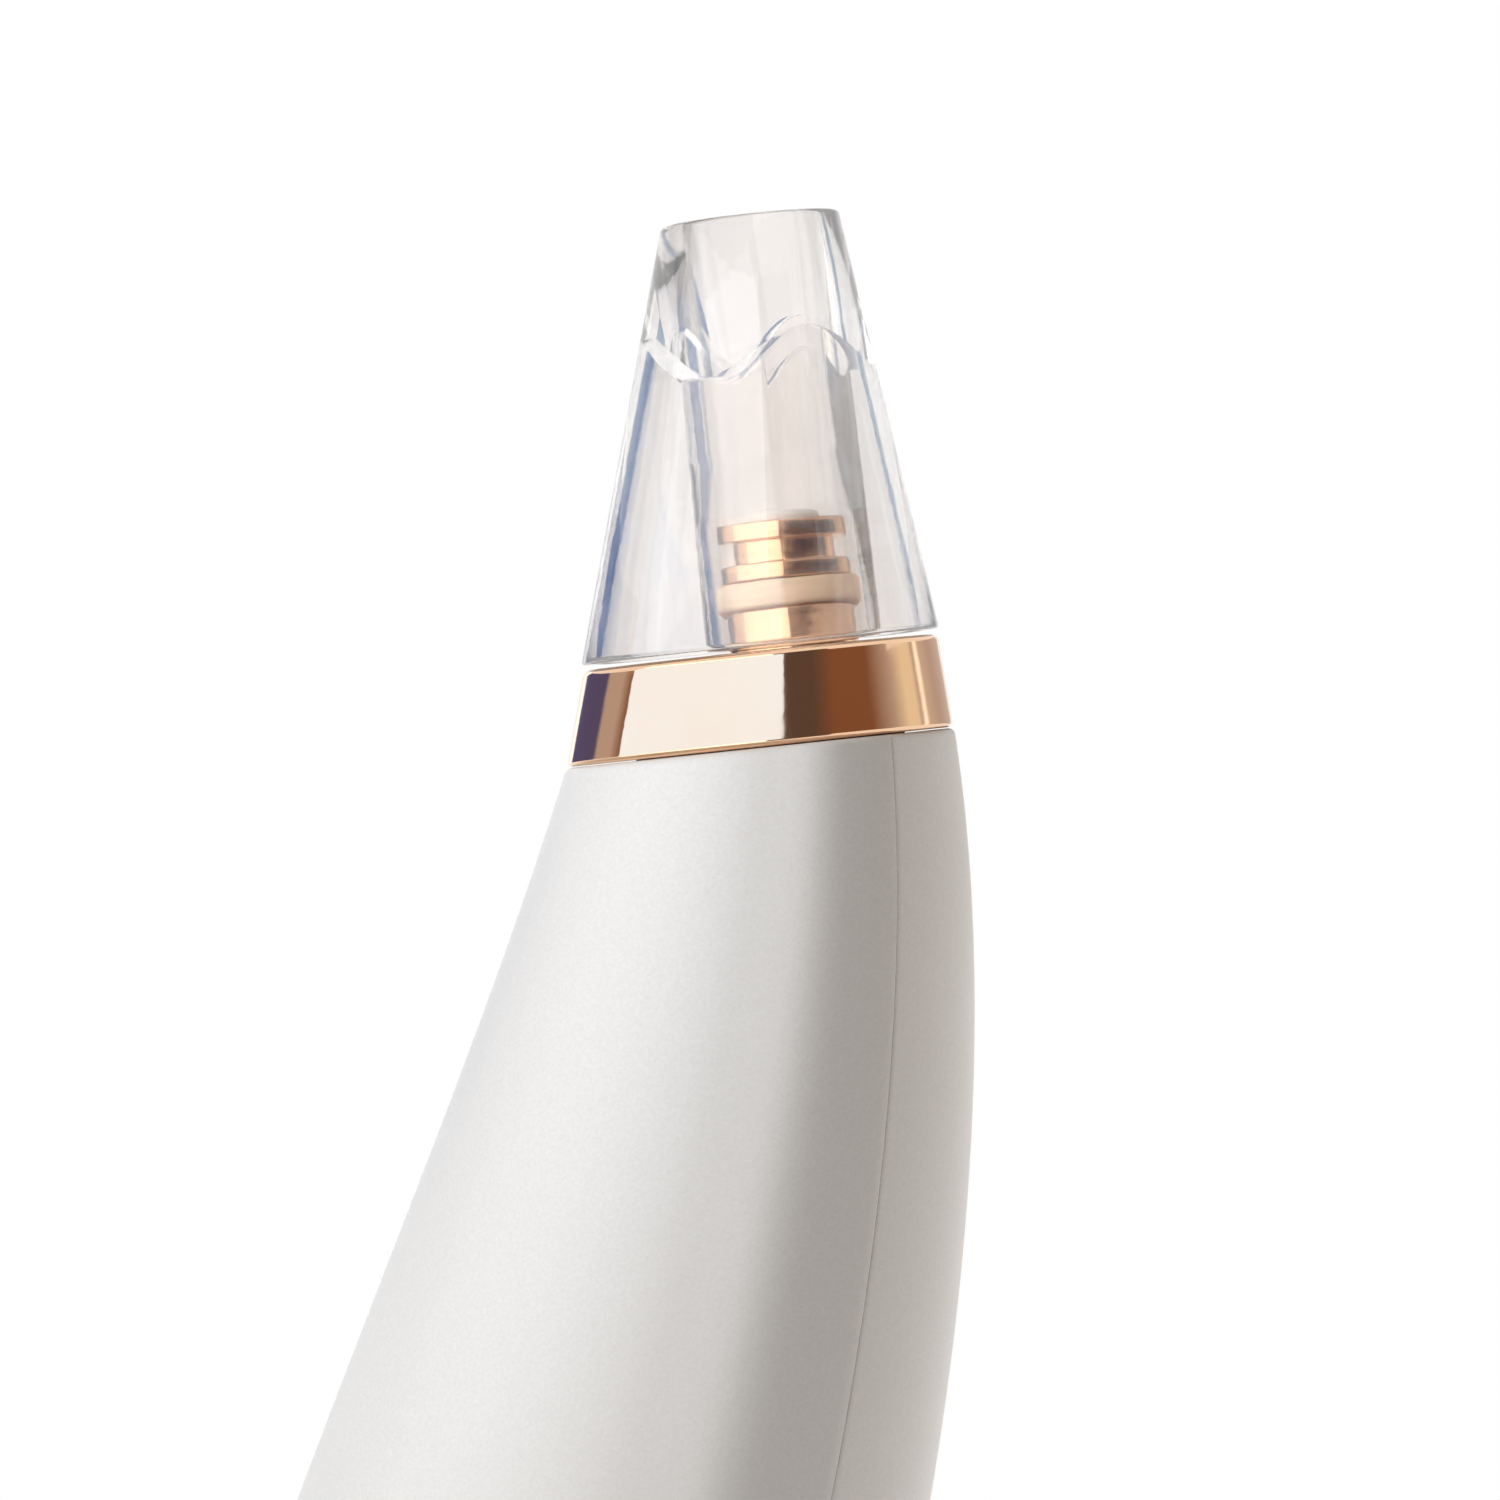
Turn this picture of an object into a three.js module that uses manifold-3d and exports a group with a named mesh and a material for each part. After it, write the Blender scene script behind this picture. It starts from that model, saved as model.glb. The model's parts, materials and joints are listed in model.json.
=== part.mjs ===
// Handheld pore vacuum: a curved two-shell body that stands on its foot, with a plated collar,
// a clear suction probe that pushes onto a stepped nozzle, and a small diaphragm pump inside.
// Millimetres, +Z up, origin at the middle of the foot, +X towards the button side.
import * as THREE from "three";
import { mergeVertices } from "three/addons/utils/BufferGeometryUtils.js";
import Module from "manifold-3d";

const wasm = await Module();
wasm.setup();

// Body form: lengths in millimetres, angles in degrees
const NOSE_TILT = 23; // lean of the suction axis towards the back
const NECK_HEIGHT = 131.3; // middle of the body's top edge above the foot
const NECK_SETBACK = 6.3; // how far that middle lies behind the foot's middle
const NECK_DEPTH = 27.3;
const NECK_WIDTH = 26;
const NECK_FRONT_LEAN = 26; // slope of the front profile where it leaves the neck
const NECK_SIDE_LEAN = 8; // slope of the flanks there
const BELLY_HEIGHT = 51; // height of the fullest section
const BELLY_DEPTH = 45.2;
const BELLY_WIDTH = 39;
const BODY_BOTTOM = 6; // height of the shells' lower edge
const BOTTOM_DEPTH = 39;
const BOTTOM_WIDTH = 33.5;
const BOTTOM_LEAN = 6; // how far the walls lean in at the bottom
const REAR_EASE = 24; // lengths of the profile curves' handles
const FRONT_NECK_EASE = 25.5;
const FRONT_BELLY_EASE = 29.7;
const SIDE_EASE = 27;
const LOWER_EASE = 20;

// Cross-section law, in shares of the section's half depth
const SEAM_SHARE = 0.66; // the seam's place in front of the section's middle
const WIDEST_SHARE = -0.1; // where the section is widest
const FLANK_SHARE = 1.27; // half axis of the flank between there and the seam
const BACK_POWER = 2.2; // 2 is an ellipse, more is squarer

// Fits
const FIT_GAP = 0.3; // between pieces that rest on each other
const SLIP_GAP = 0.2; // all round a piece in its hole

// Shells
const WALL = 2;
const SEAM_GAP = 0.2;
const TONGUE_GAP = 0.25; // between the front cover's tongue and the rear shell
const TONGUE_WALL = 1;
const TONGUE_REACH = 1.5;
const LEDGE_REACH = 4.5; // the neck plate's ledges, inwards from the wall
const LEDGE_HALF_WIDTH = 4.5;
const LEDGE = 1.5;
const VENT_RADIUS = 0.7;
const VENT_PITCH = 3.4;
const VENT_COUNT = 5;
const VENT_HEIGHT = 17;

// Collar and neck plate
const COLLAR_HEIGHT = 6.35;
const COLLAR_TOP_DEPTH = 24.4;
const COLLAR_TOP_WIDTH = 24.4;
const COLLAR_STEP = 0.25; // how far the collar's foot lies inside the shells
const COLLAR_SHIFT = 0.72; // how far the collar's top lies in front of its foot
const COLLAR_BEVEL = 0.35;
const COLLAR_PLATE = 1.5;
const NECK_PLATE = 2.6;
const SPIGOT_GAP = 0.45; // between the neck plate's spigot and the collar

// Probe, nozzle, seal and filter: heights run up the suction axis from the probe's foot
const PROBE_GAP = 0.35;
const PROBE_HEIGHT = 29.9;
const PROBE_FOOT_RADIUS = 12.4;
const PROBE_TIP_RADIUS = 6.25;
const PROBE_WALL = 1.15;
const PROBE_ECCENTRICITY = 2.4; // the suction axis lies this far in front of the collar's middle
const TIP_RIM = 1.2;
const TIP_BEVEL = 0.3;
const MOUTH_DEPTH = 9; // over which the mouth narrows to the bore
const PROBE_BORE_RADIUS = 4.7;
const PROBE_BLEND = 1.4; // height of the soft corners inside
const TUBE_WALL = 0.85;
const TUBE_FLARE = 3.4; // height over which the tube opens out under the wave
const TUBE_WAIST_RADIUS = 5.6;
const WAVE_HEIGHT = 20.8; // mean height of the wavy web between tube and skirt
const WAVE_RISE = 2.2;
const WAVE_COUNT = 3;
const WAVE_TURN = -60; // degrees round the suction axis of one crest
const NOZZLE_RADIUS = 4.55;
const NOZZLE_FLANGE_RADIUS = 4.6;
const NOZZLE_NECK_RADIUS = 3.6;
const NOZZLE_STEM_TOP = 2.8;
const NOZZLE_FOOT = 1.6;
const NOZZLE_TAIL = 14.2; // reach of the tail below the probe's foot
const NOZZLE_BORE = 1.4;
const SEAL_HEIGHT = 1.9;
const SEAL_RADIUS = 5.15;
const SEAL_ROUND = 0.35;
const SEAL_GROOVE_RADIUS = 3.8;
const LOWER_FLANGE = 1.1;
const NECK_LENGTH = 1.55;
const UPPER_FLANGE = 1.25;
const FILTER_RADIUS = 2.6;
const FILTER_SEAT_DEPTH = 4.8;
const FILTER_PROUD = 1.1;
const SOCKET_HEADROOM = 2.4; // over the nozzle, inside the probe

// Hose
const BARB_RADIUS = 2.2;
const BARB_TAPER = 2.4;
const BARB_LENGTH = 5;
const HOSE_WALL = 0.9;

// Base
const FOOT_PAD = 1.35;
const FOOT_PROUD = 1.2; // the cap's underside above the ground
const FOOT_RECESS = 0.3;
const FOOT_MARGIN = 0.7; // flat of the cap round the pad
const CAP_ROUND = 4.2; // how far the cap's lower edge rounds in
const CAP_FLOOR = 2.1;
const CAP_RIM = 3; // the rim's reach up inside the shells
const CAP_RIM_WALL = 1.4;

// Chassis, board and battery
const CHASSIS_PLATE = 2;
const CHASSIS_SIDE_GAP = 1.15;
const SHELF = 2;
const SHELF_HALF_WIDTH = 11.2;
const LUG_HALF_DEPTH = 8.6; // the lug that the base cap is screwed to
const LUG_HALF_WIDTH = 7;
const LUG = 2.6;
const BASE_SCREW_X = 5.6;
const BATTERY_RADIUS = 7.1;
const BATTERY_BACK_GAP = 0.9;
const BATTERY_HEADROOM = 1.4;
const BATTERY_TERMINAL_RADIUS = 2.7;
const BATTERY_EDGE = 0.5;
const BATTERY_PAD = 2;
const PAD_HALF_WIDTH = 3;
const CRADLE = 3; // height of a battery cradle rib
const CRADLE_SETBACK = 3; // its ends in front of the cell's axis
const CRADLE_INSET = 11; // from the cell's ends
const BOSS_RADIUS = 2.6;
const BOSS_PILOT = 9;
const BOSS_CELL_GAP = 0.5; // beside the cell
const LOWER_BOSS_HEIGHT = 18;
const UPPER_BOSS_DROP = 6.0; // below the shelf
const BOARD_FRONT_GAP = 7.5; // from the board to the cover's foot
const BOARD_THICKNESS = 1.6;
const BOARD_HALF_WIDTH = 11;
const BOARD_BOTTOM = 11;
const BOARD_TOP = 76;
const STANDOFF_RADIUS = 2.3;
const STANDOFF_Y = 7.6;
const STANDOFF_HEIGHTS = [26, 47];

// Controls
const BUTTON_HEIGHT = 64;
const BUTTON_RADIUS = 6.4;
const BUTTON_PROUD = 0.5;
const BUTTON_CAP = 3; // thickness of the button's cap under the surface
const BUTTON_FLANGE = 1.2;
const BUTTON_FLANGE_WIDTH = 1;
const BUTTON_STEM_RADIUS = 1.8;
const BUTTON_TRAVEL = 0.5;
const BEZEL_WIDTH = 1.25;
const BEZEL_PROUD = 0.25;
const BEZEL_DEPTH = 0.75;
const SWITCH_SIZE = 6;
const SWITCH_DEPTH = 2.8;
const SWITCH_FLOOR = 0.5;
const PLUNGER_RADIUS = 1.6;
const PLUNGER_PROUD = 1.1;
const LENS_HEIGHT = 42;
const LENS_LENGTH = 15;
const LENS_WIDTH = 3.4;
const LENS_PROUD = 0.1;
const LENS_DEPTH = 2.6;
const LED_COUNT = 3;
const LED_PITCH = 4.6;
const LED_DEPTH = 1;
const LED_WIDTH = 2;
const LED_LENGTH = 1.6;
const PIPE_RADIUS = 1.1;
const PORT_HEIGHT = 16.5;
const PORT_WIDTH = 9;
const PORT_THICKNESS = 3.3;
const PORT_WALL = 0.3;
const PORT_BACK = 2.9; // solid behind the port's hollow
const PORT_SET_IN = 1.1; // the port's mouth behind the cover's surface
const PORT_GAP = 0.3; // round the port in the cover
const PORT_BLADE = 0.7;
const PORT_BLADE_INSET = 1.2;

// Motor and pump
const PUMP_X = -6.5; // the motor's axis in front of the foot's middle
const PUMP_DROP = 64.8; // the motor's lower end below the neck's middle
const MOTOR_RADIUS = 10;
const MOTOR_LENGTH = 25;
const MOTOR_EDGE = 0.8;
const CAN_WALL = 1.2;
const END_CAP = 1.5;
const END_CAP_PLUG = 1;
const LEAD_SPACE = 2.7; // under the motor
const DAMPER_WALL = 1.2;
const DAMPER_LENGTH = 12;
const SADDLE_WALL = 1.35;
const SADDLE_LEDGE = 0.7; // under the end cap's edge
const SADDLE_ROOT = 0.5; // how deep the saddle stands in its shelf
const SHAFT_RADIUS = 1;
const ARMATURE_RADIUS = 7;
const ARMATURE_INSET = 4.5; // from the can's ends
const HOUSING_BACK = 8.2; // crank case, from the motor's axis
const HOUSING_FRONT = 9.8;
const HOUSING_HALF_WIDTH = 8;
const HOUSING_HEIGHT = 13.8;
const HOUSING_WALL = 1.8;
const CRANK_THROW = 0.9;
const CRANK_PIN_RADIUS = 2.5;
const CRANK_PIN_LENGTH = 4;
const CRANK_DISC_RADIUS = 4;
const CRANK_DISC = 2;
const SHAFT_COVER = 1; // of the crank over the shaft's end
const STROKE = 0.7; // half of the rod's travel
const ROD_WALL = 1.1;
const PISTON_RADIUS = 4.6;
const PISTON = 1.6;
const PISTON_GAP = 0.9;
const DIAPHRAGM = 1;
const VALVE_SEAT = 1.8;
const VALVE_SHEET = 0.6;
const VALVE_SPREAD = 2.6; // of the two valves from the head's middle
const VALVE_PORT_RADIUS = 0.8;
const DOME_DEPTH = 0.6;
const FLAP_HALF = 1.6;
const FLAP_SLIT = 0.3;
const PUMP_COVER = 3;
const CHAMBER_RADIUS = 2.2;
const CHAMBER_DEPTH = 1.8;
const PORT_BORE = 1;
const PUMP_SCREW_EDGE = 1.5; // from the head's upper and lower edges
const PUMP_SCREW_SIDE = 2.1; // from its sides
const PUMP_SCREW_BITE = 5;

// Fasteners and leads
const SCREW_RADIUS = 0.8;
const SCREW_HEAD_RADIUS = 1.7;
const SCREW_HEAD = 1.2;
const SMALL_SCREW_RADIUS = 0.6;
const SMALL_HEAD_RADIUS = 1.05;
const SMALL_HEAD = 0.7;
const CHASSIS_SCREW_LENGTH = 8;
const BOARD_SCREW_SHORT = 2.2; // its tip in front of the chassis plate
const BASE_SCREW_LENGTH = 5;
const NOZZLE_SCREW_LENGTH = 5;
const LEAD_RADIUS = 0.55;
const MOTOR_LEAD_Y = 5.2;
const BATTERY_LEAD_Y = 1.6;
const LEAD_ROOM = 1.8; // beside a lead, in the notches that it passes

// Facets
const UPPER_STEPS = 11;
const LOWER_STEPS = 5;
const FLANK_STEPS = 4;
const BACK_STEPS = 6;
const FRONT_STEPS = 8;
const EDGE_STEPS = 5;
const ROUND = 20;
const PROBE_STEPS = 30;
const MEDIUM = 16;
const SMALL = 8;
const HOSE_STEPS = 9;
const LEAD_SIDES = 6;
const LEAD_STEPS = 8;

const radians = THREE.MathUtils.degToRad;
const flat = (x, y) => new THREE.Vector2(x, y);
const point = (x, y, z) => new THREE.Vector3(x, y, z);

// Materials
const standard = (color, roughness, metalness) =>
  new THREE.MeshStandardMaterial({ color, roughness, metalness });
const whitePlastic = standard(0xe9e7e4, 0.42, 0);
const roseGold = standard(0xd9a487, 0.12, 1);
const clearPlastic = standard(0xeef1f4, 0.05, 0);
clearPlastic.transparent = true;
clearPlastic.opacity = 0.35;
const peachSilicone = standard(0xeec3a4, 0.5, 0);
const whiteFoam = standard(0xf0efec, 0.95, 0);
const greyRubber = standard(0x55575a, 0.8, 0);
const frostedPlastic = standard(0xf2f2ef, 0.5, 0);
const greyPlastic = standard(0xb9bbbd, 0.6, 0);
const blackPlastic = standard(0x202225, 0.5, 0);
const steel = standard(0xb8babd, 0.3, 1);
const boardGreen = standard(0x1f5a3c, 0.5, 0);
const cellBlue = standard(0x3d6fb0, 0.45, 0);
const ledWhite = standard(0xf6f3dc, 0.3, 0);
const clearSilicone = standard(0xd9dddb, 0.4, 0);
const blackRubber = standard(0x2b2b2d, 0.85, 0);
const redLead = standard(0xb3202a, 0.5, 0);
const darkLead = standard(0x26262a, 0.5, 0);

// Solids: closed geometry in, closed geometry out

function indexed(positions, triangles) {
  const geometry = new THREE.BufferGeometry();
  geometry.setAttribute("position", new THREE.BufferAttribute(new Float32Array(positions), 3));
  geometry.setIndex(new THREE.BufferAttribute(new Uint32Array(triangles), 1));
  return geometry;
}

function toSolid(geometry) {
  const bare = geometry.clone();
  bare.deleteAttribute("normal");
  bare.deleteAttribute("uv");
  const merged = mergeVertices(bare, 1e-4);
  const corners = merged.index.array;
  const kept = [];
  for (let i = 0; i < corners.length; i += 3) {
    const [a, b, c] = corners.slice(i, i + 3);
    if (a !== b && b !== c && c !== a) kept.push(a, b, c);
  }
  const build = (triangles) =>
    new wasm.Manifold(
      new wasm.Mesh({
        numProp: 3,
        vertProperties: new Float32Array(merged.attributes.position.array),
        triVerts: new Uint32Array(triangles),
      }),
    );
  const solid = build(kept);
  return solid.volume() > 0 ? solid : build(kept.reverse());
}

function toGeometry(solid) {
  const mesh = solid.getMesh();
  const positions = [];
  for (let i = 0; i < mesh.numVert; i++) {
    const start = i * mesh.numProp;
    positions.push(...mesh.vertProperties.subarray(start, start + 3));
  }
  return indexed(positions, mesh.triVerts);
}

const closed = (geometry) => toGeometry(toSolid(geometry));
const join = (first, ...rest) =>
  toGeometry(rest.reduce((sum, g) => sum.add(toSolid(g)), toSolid(first)));
const cut = (first, ...tools) =>
  toGeometry(tools.reduce((left, g) => left.subtract(toSolid(g)), toSolid(first)));
const common = (first, second) => toGeometry(toSolid(first).intersect(toSolid(second)));

function box(x0, x1, y0, y1, z0, z1) {
  const geometry = new THREE.BoxGeometry(x1 - x0, y1 - y0, z1 - z0);
  return geometry.translate((x0 + x1) / 2, (y0 + y1) / 2, (z0 + z1) / 2);
}

// A box that reaches as far to -Y as to +Y.
const evenBox = (x0, x1, halfY, z0, z1) => box(x0, x1, -halfY, halfY, z0, z1);

// A rod along Z at x, y.
function rodZ(radius, z0, z1, x = 0, y = 0, sides = SMALL) {
  const geometry = new THREE.CylinderGeometry(radius, radius, z1 - z0, sides);
  return geometry.rotateX(Math.PI / 2).translate(x, y, (z0 + z1) / 2);
}

// A rod along X at y, z.
function rodX(radius, x0, x1, y = 0, z = 0, sides = SMALL) {
  const geometry = new THREE.CylinderGeometry(radius, radius, x1 - x0, sides);
  return geometry.rotateZ(Math.PI / 2).translate((x0 + x1) / 2, y, z);
}

// A solid turned about Z from [radius, height] points: a loop, or a line that ends on the axis.
function turned(profile, sides = ROUND) {
  const onAxis = profile[0][0] === 0;
  const line = onAxis ? profile : [...profile, profile[0]];
  const geometry = new THREE.LatheGeometry(line.map(([r, z]) => flat(r, z)), sides);
  return closed(geometry.rotateX(Math.PI / 2));
}

// A round section swept along a smooth path, hollow where it has a bore.
function swept(radius, bore, points, steps, sides) {
  const section = new THREE.Shape().absarc(0, 0, radius, 0, 2 * Math.PI, false);
  if (bore) section.holes.push(new THREE.Path().absarc(0, 0, bore, 0, 2 * Math.PI, true));
  const extrudePath = new THREE.CatmullRomCurve3(points);
  const options = { extrudePath, steps, bevelEnabled: false, curveSegments: sides / 2 };
  return closed(new THREE.ExtrudeGeometry(section, options));
}

// A bar along X whose section is a slot with round ends, upright or lying across.
function slotX(length, width, x0, x1, z, upright) {
  const radius = width / 2;
  const half = length / 2 - radius;
  const shape = new THREE.Shape();
  shape.absarc(half, 0, radius, -Math.PI / 2, Math.PI / 2, false);
  shape.absarc(-half, 0, radius, Math.PI / 2, (3 * Math.PI) / 2, false);
  const options = { depth: x1 - x0, bevelEnabled: false, curveSegments: SMALL / 2 };
  const geometry = new THREE.ExtrudeGeometry(shape, options);
  if (!upright) geometry.rotateZ(Math.PI / 2);
  return geometry.rotateY(Math.PI / 2).translate(x0, 0, z);
}

// A skin over loops of equal length, capped at both ends; flats are the loops as flat outlines.
function loft(loops, flats) {
  const size = loops[0].length;
  const triangles = [];
  for (let k = 0; k + 1 < loops.length; k++) {
    for (let i = 0; i < size; i++) {
      const a = k * size + i;
      const b = k * size + ((i + 1) % size);
      triangles.push(a, b, b + size, a, b + size, a + size);
    }
  }
  const last = (loops.length - 1) * size;
  for (const [a, b, c] of THREE.ShapeUtils.triangulateShape(flats[0], [])) {
    triangles.push(a, c, b);
  }
  for (const [a, b, c] of THREE.ShapeUtils.triangulateShape(flats[flats.length - 1], [])) {
    triangles.push(last + a, last + b, last + c);
  }
  return closed(indexed(loops.flat().flatMap((p) => p.toArray()), triangles));
}

// A loft of level outlines, one at each height.
const stacked = (flats, heights) =>
  loft(flats.map((f, k) => f.map((p) => point(p.x, p.y, heights[k]))), flats);

// Profile rails: where the sections' back, front and flank lie, as [across, height]
const tilt = radians(NOSE_TILT);
const noseAxis = flat(-Math.sin(tilt), Math.cos(tilt));
const noseAcross = flat(Math.cos(tilt), Math.sin(tilt));
const neckMiddle = flat(-NECK_SETBACK, NECK_HEIGHT);
const neckBack = neckMiddle.clone().addScaledVector(noseAcross, -NECK_DEPTH / 2);
const neckFront = neckMiddle.clone().addScaledVector(noseAcross, NECK_DEPTH / 2);
const neckSide = flat(NECK_WIDTH / 2, NECK_HEIGHT);
const belly = (size) => flat(size / 2, BELLY_HEIGHT);
const bottom = (size) => flat(size / 2, BODY_BOTTOM);

// Steps down and up a profile, leaning towards +X by an angle.
const down = (length, lean = 0) =>
  flat(length * Math.sin(radians(lean)), -length * Math.cos(radians(lean)));
const up = (length, lean = 0) =>
  flat(length * Math.sin(radians(lean)), length * Math.cos(radians(lean)));

function rail(from, fromHandle, to, toHandle) {
  const [start, end] = [from.clone().add(fromHandle), to.clone().add(toHandle)];
  return new THREE.CubicBezierCurve(from, start, end, to);
}

const upperRails = {
  back: rail(neckBack, down(REAR_EASE), belly(-BELLY_DEPTH), up(REAR_EASE)),
  front: rail(
    neckFront,
    down(FRONT_NECK_EASE, NECK_FRONT_LEAN),
    belly(BELLY_DEPTH),
    up(FRONT_BELLY_EASE),
  ),
  side: rail(neckSide, down(SIDE_EASE, NECK_SIDE_LEAN), belly(BELLY_WIDTH), up(SIDE_EASE)),
};
const lowerRail = (bellySize, bottomSize, lean) =>
  rail(belly(bellySize), down(LOWER_EASE), bottom(bottomSize), up(LOWER_EASE, lean));
const lowerRails = {
  back: lowerRail(-BELLY_DEPTH, -BOTTOM_DEPTH, -BOTTOM_LEAN),
  front: lowerRail(BELLY_DEPTH, BOTTOM_DEPTH, BOTTOM_LEAN),
  side: lowerRail(BELLY_WIDTH, BOTTOM_WIDTH, BOTTOM_LEAN),
};

// Half of an outline's back, from the seam on the +Y side to the middle of the back.
function halfBack(a, b) {
  const widest = WIDEST_SHARE * a;
  const flank = FLANK_SHARE * a;
  const seamAngle = Math.asin((SEAM_SHARE * a - widest) / flank);
  const points = [];
  for (let k = FLANK_STEPS; k > 0; k--) {
    const angle = (seamAngle * k) / FLANK_STEPS;
    points.push(flat(widest + flank * Math.sin(angle), b * Math.cos(angle)));
  }
  for (let k = BACK_STEPS; k >= 0; k--) {
    const angle = (Math.PI / 2) * (k / BACK_STEPS);
    const reach = Math.abs(Math.cos(angle)) ** (2 / BACK_POWER);
    const rise = Math.sin(angle) ** (2 / BACK_POWER);
    points.push(flat(widest - (a + widest) * reach, b * rise));
  }
  return points;
}

// The front arc between the seams, without its ends, from the -Y side to the +Y side.
function frontArc(a, seam) {
  const crown = a - seam.x;
  const radius = (seam.y ** 2 + crown ** 2) / (2 * crown);
  const half = Math.asin(seam.y / radius);
  const points = [];
  for (let k = 1; k < FRONT_STEPS; k++) {
    const angle = -half + (2 * half * k) / FRONT_STEPS;
    points.push(flat(a - radius + radius * Math.cos(angle), radius * Math.sin(angle)));
  }
  return points;
}

// A whole outline: back from the +Y seam round to the -Y seam, then the front arc back again.
function outline(a, b) {
  const half = halfBack(a, b);
  const mirrored = half.slice(0, -1).reverse().map((p) => flat(p.x, -p.y));
  return [...half, ...mirrored, ...frontArc(a, half[0])];
}
const FAR_SEAM = 2 * (FLANK_STEPS + BACK_STEPS); // index of the -Y seam in an outline

// An outline moved inwards by a distance, square to itself.
function inset(points, distance) {
  const size = points.length;
  return points.map((p, i) => {
    const before = p.clone().sub(points[(i + size - 1) % size]).normalize();
    const after = points[(i + 1) % size].clone().sub(p).normalize();
    const along = before.add(after).normalize();
    const inward = flat(-along.y, along.x);
    const square = inward.dot(flat(-after.y, after.x));
    return p.clone().addScaledVector(inward, distance / square);
  });
}

const towards = (from, to, distance) =>
  from.clone().addScaledVector(to.clone().sub(from).normalize(), distance);

// A section of the body: 0 is the neck, 1 the belly and 2 the bottom edge.
function sectionAt(u) {
  const rails = u <= 1 ? upperRails : lowerRails;
  const share = u <= 1 ? u : u - 1;
  const back = rails.back.getPoint(share);
  const front = rails.front.getPoint(share);
  const across = front.clone().sub(back);
  const halfDepth = across.length() / 2;
  across.normalize();
  const middle = back.clone().add(front).multiplyScalar(0.5);
  return {
    outline: outline(halfDepth, rails.side.getPoint(share).x),
    place: (p) => point(middle.x + across.x * p.x, p.y, middle.y + across.y * p.x),
  };
}

const stations = [];
for (let k = 0; k <= UPPER_STEPS; k++) stations.push(sectionAt(k / UPPER_STEPS));
for (let k = 1; k <= LOWER_STEPS; k++) stations.push(sectionAt(1 + k / LOWER_STEPS));

// A skin through one flat loop of each station.
function shellFrom(loopOf) {
  const flats = stations.map((s) => loopOf(s.outline));
  return loft(flats.map((f, k) => f.map(stations[k].place)), flats);
}

// The whole body as one block, drawn in by a distance or out by a negative one.
const bodyBlock = (distance) => shellFrom((points) => inset(points, distance));

// Where the front or back profile lies at a height, in the middle plane.
function surfaceX(side, height) {
  const rails = height >= BELLY_HEIGHT ? upperRails : lowerRails;
  let [low, high] = [0, 1];
  while (high - low > 1e-9) {
    const middle = (low + high) / 2;
    if (rails[side].getPoint(middle).y > height) low = middle;
    else high = middle;
  }
  return rails[side].getPoint(low).x;
}

// Places worked out from the sizes
const FAR = NECK_HEIGHT; // past the body on any side
const PAST = 1; // how far a cut runs past the face that it opens
const innerClear = WALL + TONGUE_GAP + TONGUE_WALL + FIT_GAP; // inside the tongue
const motorBottom = NECK_HEIGHT - PUMP_DROP;
const motorTop = motorBottom + MOTOR_LENGTH;
const endCapBottom = motorBottom - FIT_GAP - END_CAP;
const chassisTop = endCapBottom - LEAD_SPACE;
const chassisHalfWidth = BOTTOM_WIDTH / 2 - WALL - CHASSIS_SIDE_GAP;
const shelfBottom = chassisTop - SHELF;
const capRecess = FOOT_PROUD + FOOT_RECESS;
const capFloorTop = capRecess + CAP_FLOOR;
const capRimTop = BODY_BOTTOM + CAP_RIM;
const padInset = CAP_ROUND + FOOT_MARGIN;
const batteryX = WALL + BATTERY_BACK_GAP + BATTERY_RADIUS - BOTTOM_DEPTH / 2;
const batteryBottom = capRimTop + 2 * FIT_GAP;
const batteryTop = shelfBottom - BATTERY_HEADROOM;
const plateBack = batteryX + BATTERY_RADIUS + BATTERY_PAD + 2 * SLIP_GAP;
const plateFront = plateBack + CHASSIS_PLATE;
const bossY = BATTERY_RADIUS + BOSS_CELL_GAP + BOSS_RADIUS;
const bossHeights = [LOWER_BOSS_HEIGHT, shelfBottom - UPPER_BOSS_DROP];
const boardFront = BOTTOM_DEPTH / 2 - WALL - BOARD_FRONT_GAP;
const boardBack = boardFront - BOARD_THICKNESS;
const onBoard = boardFront + SLIP_GAP;
const plungerTip = onBoard + SWITCH_DEPTH + PLUNGER_PROUD;
const saddleInner = MOTOR_RADIUS + DAMPER_WALL + 2 * SLIP_GAP;
const saddleOuter = saddleInner + SADDLE_WALL;
const housingBottom = motorTop + FIT_GAP;
const housingTop = housingBottom + HOUSING_HEIGHT;
const headMiddle = (housingBottom + housingTop) / 2;
const housingFront = PUMP_X + HOUSING_FRONT;
const diaphragmBack = housingFront + SLIP_GAP;
const seatBack = diaphragmBack + DIAPHRAGM + SLIP_GAP;
const sheetBack = seatBack + VALVE_SEAT + SLIP_GAP;
const coverBack = sheetBack + VALVE_SHEET + SLIP_GAP;
const coverFront = coverBack + PUMP_COVER;
const inletX = (coverBack + coverFront) / 2;
const crankBottom = housingBottom + HOUSING_WALL + FIT_GAP;
const crankDiscTop = crankBottom + CRANK_DISC;
const crankTop = crankDiscTop + CRANK_PIN_LENGTH;
const shaftTop = crankTop - SHAFT_COVER;
const rodEyeBore = CRANK_PIN_RADIUS + CRANK_THROW + STROKE + FIT_GAP;
const barbRoot = BARB_RADIUS - SLIP_GAP;
const hoseBore = BARB_RADIUS + SLIP_GAP;
const hoseRadius = hoseBore + HOSE_WALL;

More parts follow.
